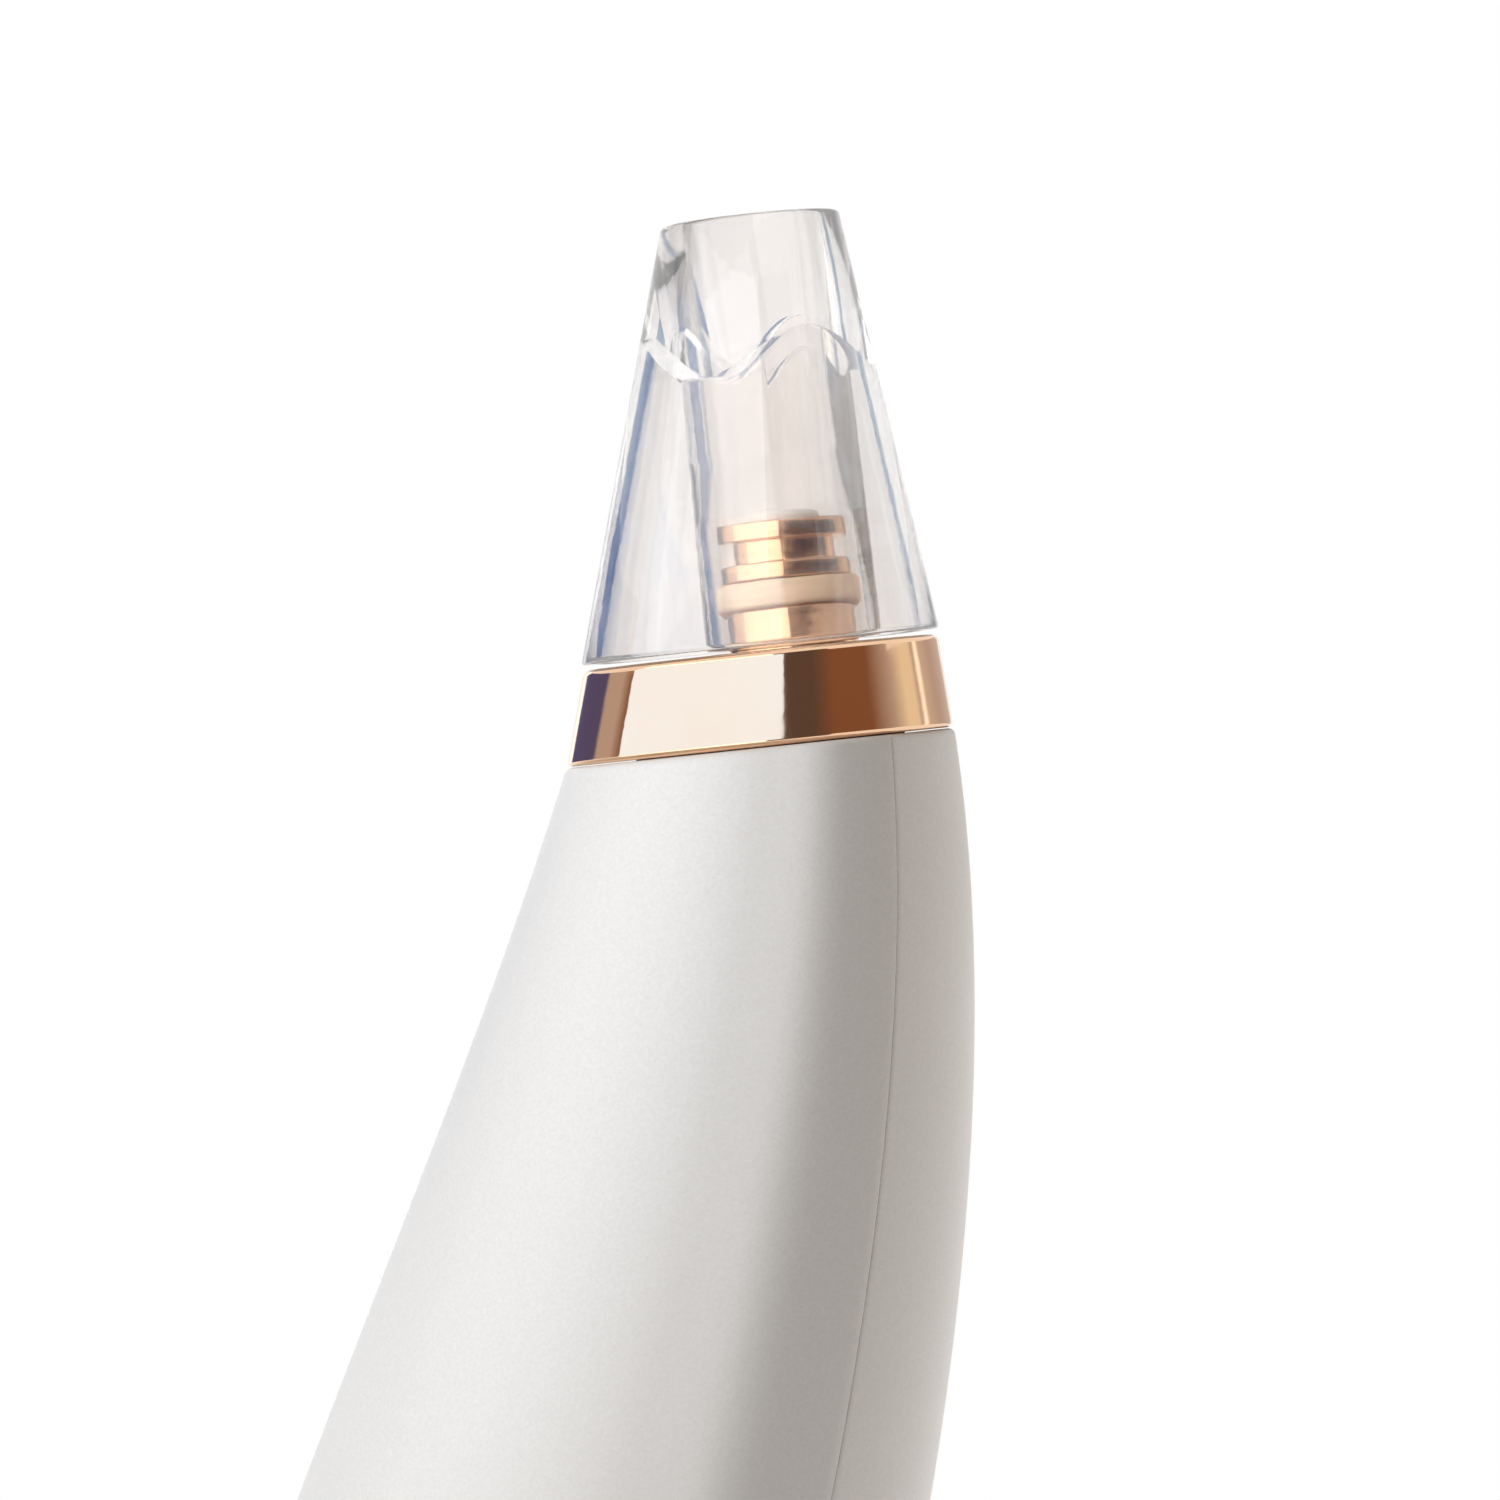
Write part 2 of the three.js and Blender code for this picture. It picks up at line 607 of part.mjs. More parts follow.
// Heights along the suction axis
const collarTop = -PROBE_GAP;
const collarBottom = collarTop - COLLAR_HEIGHT;
const neckTop = collarBottom - FIT_GAP;
const neckPlateTop = neckTop - FIT_GAP;
const neckPlateBottom = neckPlateTop - NECK_PLATE;
const nozzleFootTop = collarTop - COLLAR_PLATE - FIT_GAP;
const nozzleFootBottom = nozzleFootTop - NOZZLE_FOOT;
const sealTop = NOZZLE_STEM_TOP + SEAL_HEIGHT;
const nozzleTop = sealTop + LOWER_FLANGE + NECK_LENGTH + UPPER_FLANGE;
const filterSeat = nozzleTop - FILTER_SEAT_DEPTH;
const socketTop = nozzleTop + SOCKET_HEADROOM;
const spigotRadius = Math.min(NECK_DEPTH, NECK_WIDTH) / 2 - innerClear;
const collarBore = spigotRadius + SPIGOT_GAP;
const nozzleFootRadius = collarBore - PROBE_ECCENTRICITY - FIT_GAP;
const nozzleScrewY = nozzleFootRadius - SMALL_HEAD_RADIUS - 2 * SLIP_GAP;

// Groups: the nose leans with the suction axis, which runs up the middle of the suction group
const poreVacuum = new THREE.Group();
const nose = new THREE.Group();
const noseFoot = neckMiddle
  .clone()
  .addScaledVector(noseAxis, -neckTop)
  .addScaledVector(noseAcross, COLLAR_SHIFT);
nose.position.set(noseFoot.x, 0, noseFoot.y);
nose.rotation.y = -tilt;
nose.updateMatrix();
poreVacuum.add(nose);
const suction = new THREE.Group();
suction.position.x = PROBE_ECCENTRICITY;
nose.add(suction);

function add(name, geometry, material, group = poreVacuum) {
  const mesh = new THREE.Mesh(geometry, material);
  mesh.name = name;
  group.add(mesh);
}

// A ledge under the neck plate, reaching in from the back wall (-1) or the front wall (1).
function neckLedge(side) {
  const inner = side * (NECK_DEPTH / 2 - WALL - LEDGE_REACH) - COLLAR_SHIFT;
  const top = neckPlateBottom - FIT_GAP;
  const [x0, x1] = side < 0 ? [-FAR, inner] : [inner, FAR];
  const block = evenBox(x0, x1, LEDGE_HALF_WIDTH, top - LEDGE, top);
  return common(block.applyMatrix4(nose.matrix), bodyBlock(WALL / 2));
}

// Rear shell: the wide back of the body, with the chassis bosses and the vents
function rearShell() {
  const skin = shellFrom((points) => {
    const outer = points.slice(0, FAR_SEAM + 1);
    const inner = inset(points, WALL).slice(0, FAR_SEAM + 1);
    return [...outer, ...inner.reverse()];
  });
  const core = bodyBlock(WALL / 2);
  const bosses = [];
  const holes = [];
  for (const z of bossHeights) {
    for (const y of [-bossY, bossY]) {
      bosses.push(common(rodX(BOSS_RADIUS, -FAR, plateBack - FIT_GAP, y, z), core));
      holes.push(rodX(SCREW_RADIUS + SLIP_GAP, plateBack - BOSS_PILOT, plateBack, y, z));
    }
  }
  const ventEnd = surfaceX("back", VENT_HEIGHT) + 3 * WALL;
  for (let k = 0; k < VENT_COUNT; k++) {
    const y = (k - (VENT_COUNT - 1) / 2) * VENT_PITCH;
    holes.push(rodX(VENT_RADIUS, -FAR, ventEnd, y, VENT_HEIGHT));
  }
  return cut(join(skin, neckLedge(-1), ...bosses), ...holes);
}

// Front cover: the narrow front, with a tongue behind each seam and openings for the controls
function frontCover() {
  const skin = shellFrom((points) => {
    const depths = [0, WALL, WALL + TONGUE_GAP, WALL + TONGUE_GAP + TONGUE_WALL];
    const [outer, inner, near, far] = depths.map((d) => inset(points, d));
    // Corners at one seam, in order from the outside inwards.
    const edge = (seam, rear, front) => [
      towards(outer[seam], outer[front], SEAM_GAP),
      towards(near[seam], near[front], SEAM_GAP),
      towards(near[seam], near[rear], TONGUE_REACH),
      towards(far[seam], far[rear], TONGUE_REACH),
      towards(far[seam], far[front], TONGUE_REACH),
      towards(inner[seam], inner[front], TONGUE_REACH),
    ];
    const first = FAR_SEAM + 1;
    return [
      ...outer.slice(first),
      ...edge(0, 1, points.length - 1),
      ...inner.slice(first).reverse(),
      ...edge(FAR_SEAM, FAR_SEAM - 1, first).reverse(),
    ];
  });
  const bore = BUTTON_RADIUS + SLIP_GAP;
  const recess = cut(
    rodX(bore + BEZEL_WIDTH + SLIP_GAP, 0, FAR, 0, BUTTON_HEIGHT, ROUND),
    bodyBlock(BEZEL_DEPTH + SLIP_GAP),
  );
  return cut(
    join(skin, neckLedge(1)),
    recess,
    rodX(bore, 0, FAR, 0, BUTTON_HEIGHT, ROUND),
    slotX(LENS_LENGTH + 2 * SLIP_GAP, LENS_WIDTH + 2 * SLIP_GAP, 0, FAR, LENS_HEIGHT, true),
    slotX(PORT_WIDTH + 2 * PORT_GAP, PORT_THICKNESS + 2 * PORT_GAP, 0, FAR, PORT_HEIGHT, false),
  );
}

// Collar: a plated cap round the neck, with a plate on top that the nozzle comes through
function collarRing() {
  const foot = outline(NECK_DEPTH / 2 - COLLAR_STEP, NECK_WIDTH / 2 - COLLAR_STEP);
  const top = outline(COLLAR_TOP_DEPTH / 2, COLLAR_TOP_WIDTH / 2);
  const rows = [
    [collarBottom, COLLAR_BEVEL],
    [collarBottom + COLLAR_BEVEL, 0],
    [collarTop - COLLAR_BEVEL, 0],
    [collarTop, COLLAR_BEVEL],
  ];
  const flats = rows.map(([z, bevel]) => {
    const share = (z - collarBottom) / COLLAR_HEIGHT;
    const mixed = foot.map((p, i) => flat(p.x - COLLAR_SHIFT, p.y).lerp(top[i], share));
    return inset(mixed, bevel);
  });
  const hole = NOZZLE_RADIUS + FIT_GAP;
  return cut(
    stacked(flats, rows.map(([z]) => z)),
    rodZ(collarBore, collarBottom - PAST, collarTop - COLLAR_PLATE, 0, 0, ROUND),
    rodZ(hole, collarBottom, collarTop + PAST, PROBE_ECCENTRICITY, 0, ROUND),
  );
}

// Neck plate: closes the neck and carries the nozzle and the collar on its spigot
function neckPlate() {
  const neck = outline(NECK_DEPTH / 2, NECK_WIDTH / 2);
  const disc = inset(neck, innerClear).map((p) => flat(p.x - COLLAR_SHIFT, p.y));
  const spigotTop = nozzleFootBottom - FIT_GAP;
  const pilotEnd = nozzleFootTop - NOZZLE_SCREW_LENGTH - SMALL_HEAD - SLIP_GAP;
  const pilots = [-nozzleScrewY, nozzleScrewY].map((y) =>
    rodZ(SMALL_SCREW_RADIUS + SLIP_GAP, pilotEnd, spigotTop + PAST, PROBE_ECCENTRICITY, y),
  );
  return cut(
    join(
      stacked([disc, disc], [neckPlateBottom, neckPlateTop]),
      rodZ(spigotRadius, neckPlateTop - FIT_GAP, spigotTop, 0, 0, ROUND),
    ),
    rodZ(hoseBore, neckPlateBottom - PAST, spigotTop + PAST, PROBE_ECCENTRICITY, 0, MEDIUM),
    ...pilots,
  );
}

// Nozzle: stepped and plated, with a seal groove, a filter seat and a hose tail
function nozzle() {
  const lowerTop = sealTop + LOWER_FLANGE;
  const neckEnd = lowerTop + NECK_LENGTH;
  const seatRadius = FILTER_RADIUS + SLIP_GAP;
  const body = turned([
    [NOZZLE_BORE, -NOZZLE_TAIL],
    [barbRoot - SLIP_GAP, -NOZZLE_TAIL],
    [BARB_RADIUS, BARB_TAPER - NOZZLE_TAIL],
    [barbRoot, BARB_TAPER - NOZZLE_TAIL],
    [barbRoot, nozzleFootBottom],
    [nozzleFootRadius, nozzleFootBottom],
    [nozzleFootRadius, nozzleFootTop],
    [NOZZLE_RADIUS, nozzleFootTop],
    [NOZZLE_RADIUS, NOZZLE_STEM_TOP],
    [SEAL_GROOVE_RADIUS, NOZZLE_STEM_TOP],
    [SEAL_GROOVE_RADIUS, sealTop],
    [NOZZLE_FLANGE_RADIUS, sealTop],
    [NOZZLE_FLANGE_RADIUS, lowerTop],
    [NOZZLE_NECK_RADIUS, lowerTop],
    [NOZZLE_NECK_RADIUS, neckEnd],
    [NOZZLE_FLANGE_RADIUS, neckEnd],
    [NOZZLE_FLANGE_RADIUS, nozzleTop],
    [seatRadius, nozzleTop],
    [seatRadius, filterSeat],
    [NOZZLE_BORE, filterSeat],
  ]);
  const headSeat = nozzleFootTop - SMALL_HEAD - SLIP_GAP;
  const holes = [-nozzleScrewY, nozzleScrewY].flatMap((y) => [
    rodZ(SMALL_SCREW_RADIUS + SLIP_GAP, nozzleFootBottom - PAST, nozzleFootTop, 0, y),
    rodZ(SMALL_HEAD_RADIUS + SLIP_GAP, headSeat, nozzleFootTop + FIT_GAP, 0, y),
  ]);
  return cut(body, ...holes);
}

function nozzleSeal() {
  const [low, high] = [NOZZLE_STEM_TOP + SLIP_GAP / 2, sealTop - SLIP_GAP / 2];
  return turned([
    [SEAL_GROOVE_RADIUS + SLIP_GAP, low],
    [SEAL_RADIUS - SEAL_ROUND, low],
    [SEAL_RADIUS, low + SEAL_ROUND],
    [SEAL_RADIUS, high - SEAL_ROUND],
    [SEAL_RADIUS - SEAL_ROUND, high],
    [SEAL_GROOVE_RADIUS + SLIP_GAP, high],
  ]);
}

function filterSponge() {
  const [low, high] = [filterSeat + SLIP_GAP, nozzleTop + FILTER_PROUD];
  const soft = FILTER_PROUD / 2;
  return turned(
    [
      [0, low],
      [FILTER_RADIUS, low],
      [FILTER_RADIUS, high - soft],
      [FILTER_RADIUS - soft, high],
      [0, high],
    ],
    MEDIUM,
  );
}

// Probe: a leaning cone round a straight tube, joined by a wavy web under the mouth
function suctionProbe() {
  const share = (z) => z / PROBE_HEIGHT;
  const skirtRadius = (z) => THREE.MathUtils.lerp(PROBE_FOOT_RADIUS, PROBE_TIP_RADIUS, share(z));
  const skirtX = (z) => -PROBE_ECCENTRICITY * (1 - share(z));
  // Rings give a centre, a radius and a height at each angle.
  const skirt = (z, wall) => () => [skirtX(z), skirtRadius(z) - wall, z];
  const round = (radius, z) => () => [0, radius, z];
  const wave = (angle) => {
    const swing = Math.cos(WAVE_COUNT * (angle - radians(WAVE_TURN)));
    return skirt(WAVE_HEIGHT + WAVE_RISE * swing, PROBE_WALL)();
  };
  const socketRadius = SEAL_RADIUS + SLIP_GAP;
  const tubeRadius = socketRadius + TUBE_WALL;
  const tipRadius = PROBE_TIP_RADIUS - TIP_RIM;
  const rings = [
    skirt(0, 0),
    skirt(PROBE_HEIGHT - TIP_BEVEL, 0),
    skirt(PROBE_HEIGHT, TIP_BEVEL / 2),
    round(tipRadius, PROBE_HEIGHT),
    round(PROBE_BORE_RADIUS, PROBE_HEIGHT - MOUTH_DEPTH),
    round(PROBE_BORE_RADIUS, socketTop + PROBE_BLEND / 2),
    round(socketRadius, socketTop - PROBE_BLEND / 2),
    round(socketRadius, 0),
    round(tubeRadius, 0),
    round((tubeRadius + TUBE_WAIST_RADIUS) / 2, socketTop),
    round(TUBE_WAIST_RADIUS, WAVE_HEIGHT - TUBE_FLARE),
    wave,
    skirt(WAVE_HEIGHT - WAVE_RISE - PROBE_BLEND, PROBE_WALL),
    skirt(0, PROBE_WALL),
  ];
  const positions = [];
  const triangles = [];
  rings.forEach((ring, k) => {
    const here = k * PROBE_STEPS;
    const next = ((k + 1) % rings.length) * PROBE_STEPS;
    for (let i = 0; i < PROBE_STEPS; i++) {
      const angle = (2 * Math.PI * i) / PROBE_STEPS;
      const [x, radius, z] = ring(angle);
      positions.push(x + radius * Math.cos(angle), radius * Math.sin(angle), z);
      const j = (i + 1) % PROBE_STEPS;
      triangles.push(here + i, here + j, next + j, here + i, next + j, next + i);
    }
  });
  return closed(indexed(positions, triangles));
}

// Suction hose: from the pump's inlet up to the nozzle's tail
function suctionHose() {
  const onAxis = (height) => point(PROBE_ECCENTRICITY, 0, height).applyMatrix4(nose.matrix);
  const inlet = (height) => point(inletX, 0, housingTop + height);
  const lowTurn = inlet(BARB_LENGTH + FIT_GAP);
  const highTurn = onAxis(-NOZZLE_TAIL - PAST);
  const middle = lowTurn.clone().lerp(highTurn, 0.5);
  const route = [inlet(FIT_GAP), lowTurn, middle, highTurn, onAxis(neckPlateBottom - FIT_GAP)];
  return swept(hoseRadius, hoseBore, route, HOSE_STEPS, SMALL);
}

// Base cap and foot pad: the body's lowest outline at [height, inset] rows
function baseLoft(rows) {
  const lowest = stations[stations.length - 1].outline;
  return stacked(rows.map(([, distance]) => inset(lowest, distance)), rows.map(([z]) => z));
}

function baseCap() {
  const top = BODY_BOTTOM - FIT_GAP;
  const edge = [];
  for (let k = 0; k <= EDGE_STEPS; k++) {
    const angle = (Math.PI / 2) * (k / EDGE_STEPS);
    const rise = (top - FOOT_PROUD) * (1 - Math.cos(angle));
    edge.push([FOOT_PROUD + rise, CAP_ROUND * (1 - Math.sin(angle))]);
  }
  const body = baseLoft([
    [capRecess, padInset],
    [FOOT_PROUD, padInset],
    ...edge,
    [top, innerClear],
    [capRimTop, innerClear],
    [capRimTop, innerClear + CAP_RIM_WALL],
    [capFloorTop, innerClear + CAP_RIM_WALL],
  ]);
  const holes = [-BASE_SCREW_X, BASE_SCREW_X].flatMap((x) => [
    rodZ(SCREW_RADIUS + SLIP_GAP, 0, capFloorTop + PAST, x),
    rodZ(SCREW_HEAD_RADIUS + SLIP_GAP, 0, capRecess + SCREW_HEAD + SLIP_GAP, x),
  ]);
  return cut(body, ...holes);
}

const footPad = () =>
  baseLoft([
    [0, padInset + 2 * SLIP_GAP],
    [FOOT_PAD / 3, padInset + SLIP_GAP],
    [FOOT_PAD, padInset + SLIP_GAP],
  ]);

// Chassis: the spine that carries battery, board and motor
function chassis() {
  const lugBottom = capFloorTop + FIT_GAP;
  const lugTop = lugBottom + LUG;
  const saddleTop = motorBottom + DAMPER_LENGTH + SADDLE_WALL;
  const ledgeRadius = MOTOR_RADIUS - SADDLE_LEDGE;
  const ledgeTop = endCapBottom - FIT_GAP;
  const back = PUMP_X - HOUSING_BACK;
  const saddle = cut(
    turned([
      [ledgeRadius, chassisTop - SADDLE_ROOT],
      [saddleOuter, chassisTop - SADDLE_ROOT],
      [saddleOuter, saddleTop],
      [saddleInner, saddleTop],
      [saddleInner, ledgeTop],
      [ledgeRadius, ledgeTop],
    ]).translate(PUMP_X, 0, 0),
    evenBox(-FAR, back, FAR, 0, FAR),
    evenBox(PUMP_X, FAR, MOTOR_LEAD_Y + LEAD_ROOM, chassisTop, motorBottom),
  );
  const cellRoom = rodZ(BATTERY_RADIUS + SLIP_GAP, 0, FAR, batteryX, 0, ROUND);
  const cradleHalf = bossY - BOSS_RADIUS - FIT_GAP;
  const cradleBack = batteryX + CRADLE_SETBACK;
  const cradles = [batteryBottom + CRADLE_INSET, batteryTop - CRADLE_INSET].map((z) =>
    cut(evenBox(cradleBack, plateBack + PAST, cradleHalf, z - CRADLE / 2, z + CRADLE / 2), cellRoom),
  );
  const posts = [];
  const holes = [];
  for (const z of STANDOFF_HEIGHTS) {
    for (const y of [-STANDOFF_Y, STANDOFF_Y]) {
      posts.push(rodX(STANDOFF_RADIUS, plateFront - PAST, boardBack - FIT_GAP, y, z));
      holes.push(rodX(SCREW_RADIUS + SLIP_GAP, plateFront, FAR, y, z));
    }
  }
  for (const z of bossHeights) {
    for (const y of [-bossY, bossY]) {
      holes.push(rodX(SCREW_RADIUS + SLIP_GAP, plateBack - PAST, plateFront + PAST, y, z));
    }
  }
  for (const x of [-BASE_SCREW_X, BASE_SCREW_X]) {
    holes.push(rodZ(SCREW_RADIUS + SLIP_GAP, 0, lugTop + PAST, x));
  }
  const windowLow = batteryTop - LEAD_ROOM;
  holes.push(
    evenBox(plateBack - PAST, plateFront + PAST, BATTERY_LEAD_Y + LEAD_ROOM, windowLow, shelfBottom),
  );
  return cut(
    join(
      evenBox(plateBack, plateFront, LUG_HALF_WIDTH, lugBottom, chassisTop),
      evenBox(plateBack, plateFront, chassisHalfWidth, capRimTop + WALL, shelfBottom),
      evenBox(-LUG_HALF_DEPTH, LUG_HALF_DEPTH, LUG_HALF_WIDTH, lugBottom, lugTop),
      evenBox(back, plateFront, SHELF_HALF_WIDTH, shelfBottom, chassisTop),
      saddle,
      ...cradles,
      ...posts,
    ),
    ...holes,
  );
}

// Battery cell and its foam pad
const batteryCell = () =>
  turned([
    [0, batteryBottom],
    [BATTERY_RADIUS - BATTERY_EDGE, batteryBottom],
    [BATTERY_RADIUS, batteryBottom + BATTERY_EDGE],
    [BATTERY_RADIUS, batteryTop - 2 * BATTERY_EDGE],
    [BATTERY_RADIUS - BATTERY_EDGE, batteryTop - BATTERY_EDGE],
    [BATTERY_TERMINAL_RADIUS, batteryTop - BATTERY_EDGE],
    [BATTERY_TERMINAL_RADIUS, batteryTop],
    [0, batteryTop],
  ]).translate(batteryX, 0, 0);

function batteryPad() {
  const front = plateBack - SLIP_GAP;
  const margin = CRADLE_INSET + CRADLE;
  return evenBox(
    front - BATTERY_PAD,
    front,
    PAD_HALF_WIDTH,
    batteryBottom + margin,
    batteryTop - margin,
  );
}

// Board with its switch, lamps and charging port
function mainBoard() {
  const holes = STANDOFF_HEIGHTS.flatMap((z) =>
    [-STANDOFF_Y, STANDOFF_Y].map((y) => rodX(SCREW_RADIUS + SLIP_GAP, 0, FAR, y, z)),
  );
  return cut(evenBox(boardBack, boardFront, BOARD_HALF_WIDTH, BOARD_BOTTOM, BOARD_TOP), ...holes);
}

function tactSwitch() {
  const half = SWITCH_SIZE / 2;
  const front = onBoard + SWITCH_DEPTH;
  return cut(
    evenBox(onBoard, front, half, BUTTON_HEIGHT - half, BUTTON_HEIGHT + half),
    rodX(PLUNGER_RADIUS + SLIP_GAP, onBoard + SWITCH_FLOOR, FAR, 0, BUTTON_HEIGHT, MEDIUM),
  );
}

function switchPlunger() {
  const back = onBoard + SWITCH_FLOOR + BUTTON_TRAVEL + SLIP_GAP;
  return rodX(PLUNGER_RADIUS, back, plungerTip, 0, BUTTON_HEIGHT, MEDIUM);
}

const ledHeight = (k) => LENS_HEIGHT + (k - (LED_COUNT - 1) / 2) * LED_PITCH;
const led = (k) =>
  evenBox(
    onBoard,
    onBoard + LED_DEPTH,
    LED_WIDTH / 2,
    ledHeight(k) - LED_LENGTH / 2,
    ledHeight(k) + LED_LENGTH / 2,
  );

function chargePort() {
  const mouth = surfaceX("front", PORT_HEIGHT) - PORT_SET_IN;
  const floor = onBoard + PORT_BACK;
  const [width, thickness] = [PORT_WIDTH - 2 * PORT_WALL, PORT_THICKNESS - 2 * PORT_WALL];
  const shell = slotX(PORT_WIDTH, PORT_THICKNESS, onBoard, mouth, PORT_HEIGHT, false);
  const hollow = slotX(width, thickness, floor, mouth + PAST, PORT_HEIGHT, false);
  const blade = evenBox(
    floor - PAST,
    mouth - PORT_SET_IN,
    PORT_WIDTH / 2 - PORT_BLADE_INSET,
    PORT_HEIGHT - PORT_BLADE / 2,
    PORT_HEIGHT + PORT_BLADE / 2,
  );
  return join(cut(shell, hollow), blade);
}

// Button, bezel and lens: layers of the body's own surface, between two depths under it
const layer = (shape, top, under) => cut(common(shape, bodyBlock(top)), bodyBlock(under));
const buttonRod = (radius) => rodX(radius, 0, FAR, 0, BUTTON_HEIGHT, ROUND);

function powerButton() {
  const flangeTop = WALL + FIT_GAP;
  const flangeRod = buttonRod(BUTTON_RADIUS + BUTTON_FLANGE_WIDTH);
  const stemEnd = surfaceX("front", BUTTON_HEIGHT) - WALL;
  return join(
    layer(buttonRod(BUTTON_RADIUS), -BUTTON_PROUD, BUTTON_CAP),
    layer(flangeRod, flangeTop, flangeTop + BUTTON_FLANGE),
    rodX(BUTTON_STEM_RADIUS, plungerTip + SLIP_GAP, stemEnd, 0, BUTTON_HEIGHT),
  );
}

function buttonBezel() {
  const inner = BUTTON_RADIUS + SLIP_GAP;
  const ring = cut(buttonRod(inner + BEZEL_WIDTH), buttonRod(inner));
  return layer(ring, -BEZEL_PROUD, BEZEL_DEPTH);
}

function indicatorLens() {
  const bar = slotX(LENS_LENGTH, LENS_WIDTH, 0, FAR, LENS_HEIGHT, true);
  const pipeEnd = surfaceX("front", LENS_HEIGHT) - WALL;
  const pipes = [];
  for (let k = 0; k < LED_COUNT; k++) {
    pipes.push(rodX(PIPE_RADIUS, onBoard + LED_DEPTH + FIT_GAP, pipeEnd, 0, ledHeight(k)));
  }
  return join(layer(bar, -LENS_PROUD, LENS_DEPTH), ...pipes);
}

// Motor: can, end cap, rubber damper, and the rotor that turns in it
const shaftHole = SHAFT_RADIUS + FIT_GAP;
const canBore = MOTOR_RADIUS - CAN_WALL;
const onMotorAxis = (geometry) => geometry.translate(PUMP_X, 0, 0);

const motorCan = () =>
  turned([
    [shaftHole, motorTop - CAN_WALL],
    [canBore, motorTop - CAN_WALL],
    [canBore, motorBottom],
    [MOTOR_RADIUS, motorBottom],
    [MOTOR_RADIUS, motorTop - MOTOR_EDGE],
    [MOTOR_RADIUS - MOTOR_EDGE, motorTop],
    [shaftHole, motorTop],
  ]);

const motorEndCap = () =>
  turned([
    [shaftHole, endCapBottom],
    [MOTOR_RADIUS, endCapBottom],
    [MOTOR_RADIUS, motorBottom - FIT_GAP],
    [canBore - SLIP_GAP, motorBottom - FIT_GAP],
    [canBore - SLIP_GAP, motorBottom + END_CAP_PLUG],
    [shaftHole, motorBottom + END_CAP_PLUG],
  ]);

function motorDamper() {
  const inner = MOTOR_RADIUS + SLIP_GAP;
  const [low, high] = [motorBottom + FIT_GAP, motorBottom + FIT_GAP + DAMPER_LENGTH];
  return turned([
    [inner, low],
    [inner + DAMPER_WALL, low],
    [inner + DAMPER_WALL, high],
    [inner, high],
  ]);
}

const motorRotor = () =>
  turned([
    [0, endCapBottom + FIT_GAP],
    [SHAFT_RADIUS, endCapBottom + FIT_GAP],
    [SHAFT_RADIUS, motorBottom + ARMATURE_INSET],
    [ARMATURE_RADIUS, motorBottom + ARMATURE_INSET],
    [ARMATURE_RADIUS, motorTop - ARMATURE_INSET],
    [SHAFT_RADIUS, motorTop - ARMATURE_INSET],
    [SHAFT_RADIUS, shaftTop],
    [0, shaftTop],
  ]);

// Pump: crank, rod, crank case, diaphragm, valves and cover, stacked towards the front
const crankCam = () =>
  cut(
    join(
      rodZ(CRANK_DISC_RADIUS, crankBottom, crankDiscTop, 0, 0, ROUND),
      rodZ(CRANK_PIN_RADIUS, crankDiscTop - FIT_GAP, crankTop, 0, CRANK_THROW, ROUND),
    ),
    rodZ(SHAFT_RADIUS + SLIP_GAP, 0, shaftTop + SLIP_GAP, 0, 0, MEDIUM),
  );

function connectingRod() {
  const [low, high] = [crankDiscTop + FIT_GAP, crankTop - FIT_GAP];
  const pistonFront = diaphragmBack - FIT_GAP;
  const pistonBack = pistonFront - PISTON;
  return cut(
    join(
      rodZ(rodEyeBore + ROD_WALL, low, high, PUMP_X, 0, ROUND),
      evenBox(PUMP_X, pistonBack + PISTON / 2, (high - low) / 2, low, high),
      rodX(PISTON_RADIUS, pistonBack, pistonFront, 0, headMiddle, ROUND),
    ),
    rodZ(rodEyeBore, low - PAST, high + PAST, PUMP_X, 0, ROUND),
  );
}

// Places of the pump's screws and valves on its head, as [y, z] and as heights.
const pumpScrewY = HOUSING_HALF_WIDTH - PUMP_SCREW_SIDE;
const pumpScrewRise = HOUSING_HEIGHT / 2 - PUMP_SCREW_EDGE;
const pumpScrews = [-1, 1].flatMap((side) =>
  [-1, 1].map((level) => [side * pumpScrewY, headMiddle + level * pumpScrewRise]),
);
const [outletZ, inletZ] = [headMiddle - VALVE_SPREAD, headMiddle + VALVE_SPREAD];
const pumpPilot = housingFront - PUMP_SCREW_BITE - SLIP_GAP;
const pumpHoles = () =>
  pumpScrews.map(([y, z]) => rodX(SMALL_SCREW_RADIUS + SLIP_GAP, pumpPilot, FAR, y, z));
const headBlock = (x0, x1) => evenBox(x0, x1, HOUSING_HALF_WIDTH, housingBottom, housingTop);

function pumpHousing() {
  const room = rodEyeBore + ROD_WALL + STROKE + FIT_GAP;
  return cut(
    headBlock(PUMP_X - HOUSING_BACK, housingFront),
    evenBox(
      PUMP_X - room,
      housingFront - HOUSING_WALL,
      room,
      housingBottom + HOUSING_WALL,
      housingTop - HOUSING_WALL,
    ),
    rodX(PISTON_RADIUS + PISTON_GAP, PUMP_X, FAR, 0, headMiddle, ROUND),
    rodZ(shaftHole, 0, headMiddle, PUMP_X, 0, MEDIUM),
    ...pumpHoles(),
  );
}

// The diaphragm is a rubber sheet, clamped between crank case and valve seat.
const pumpDiaphragm = () =>
  cut(headBlock(diaphragmBack, diaphragmBack + DIAPHRAGM), ...pumpHoles());

function valveSeat() {
  const dome = rodX(PISTON_RADIUS, PUMP_X, seatBack + DOME_DEPTH, 0, headMiddle, ROUND);
  const ports = [inletZ, outletZ].map((z) => rodX(VALVE_PORT_RADIUS, PUMP_X, FAR, 0, z));
  return cut(headBlock(seatBack, seatBack + VALVE_SEAT), dome, ...ports, ...pumpHoles());
}

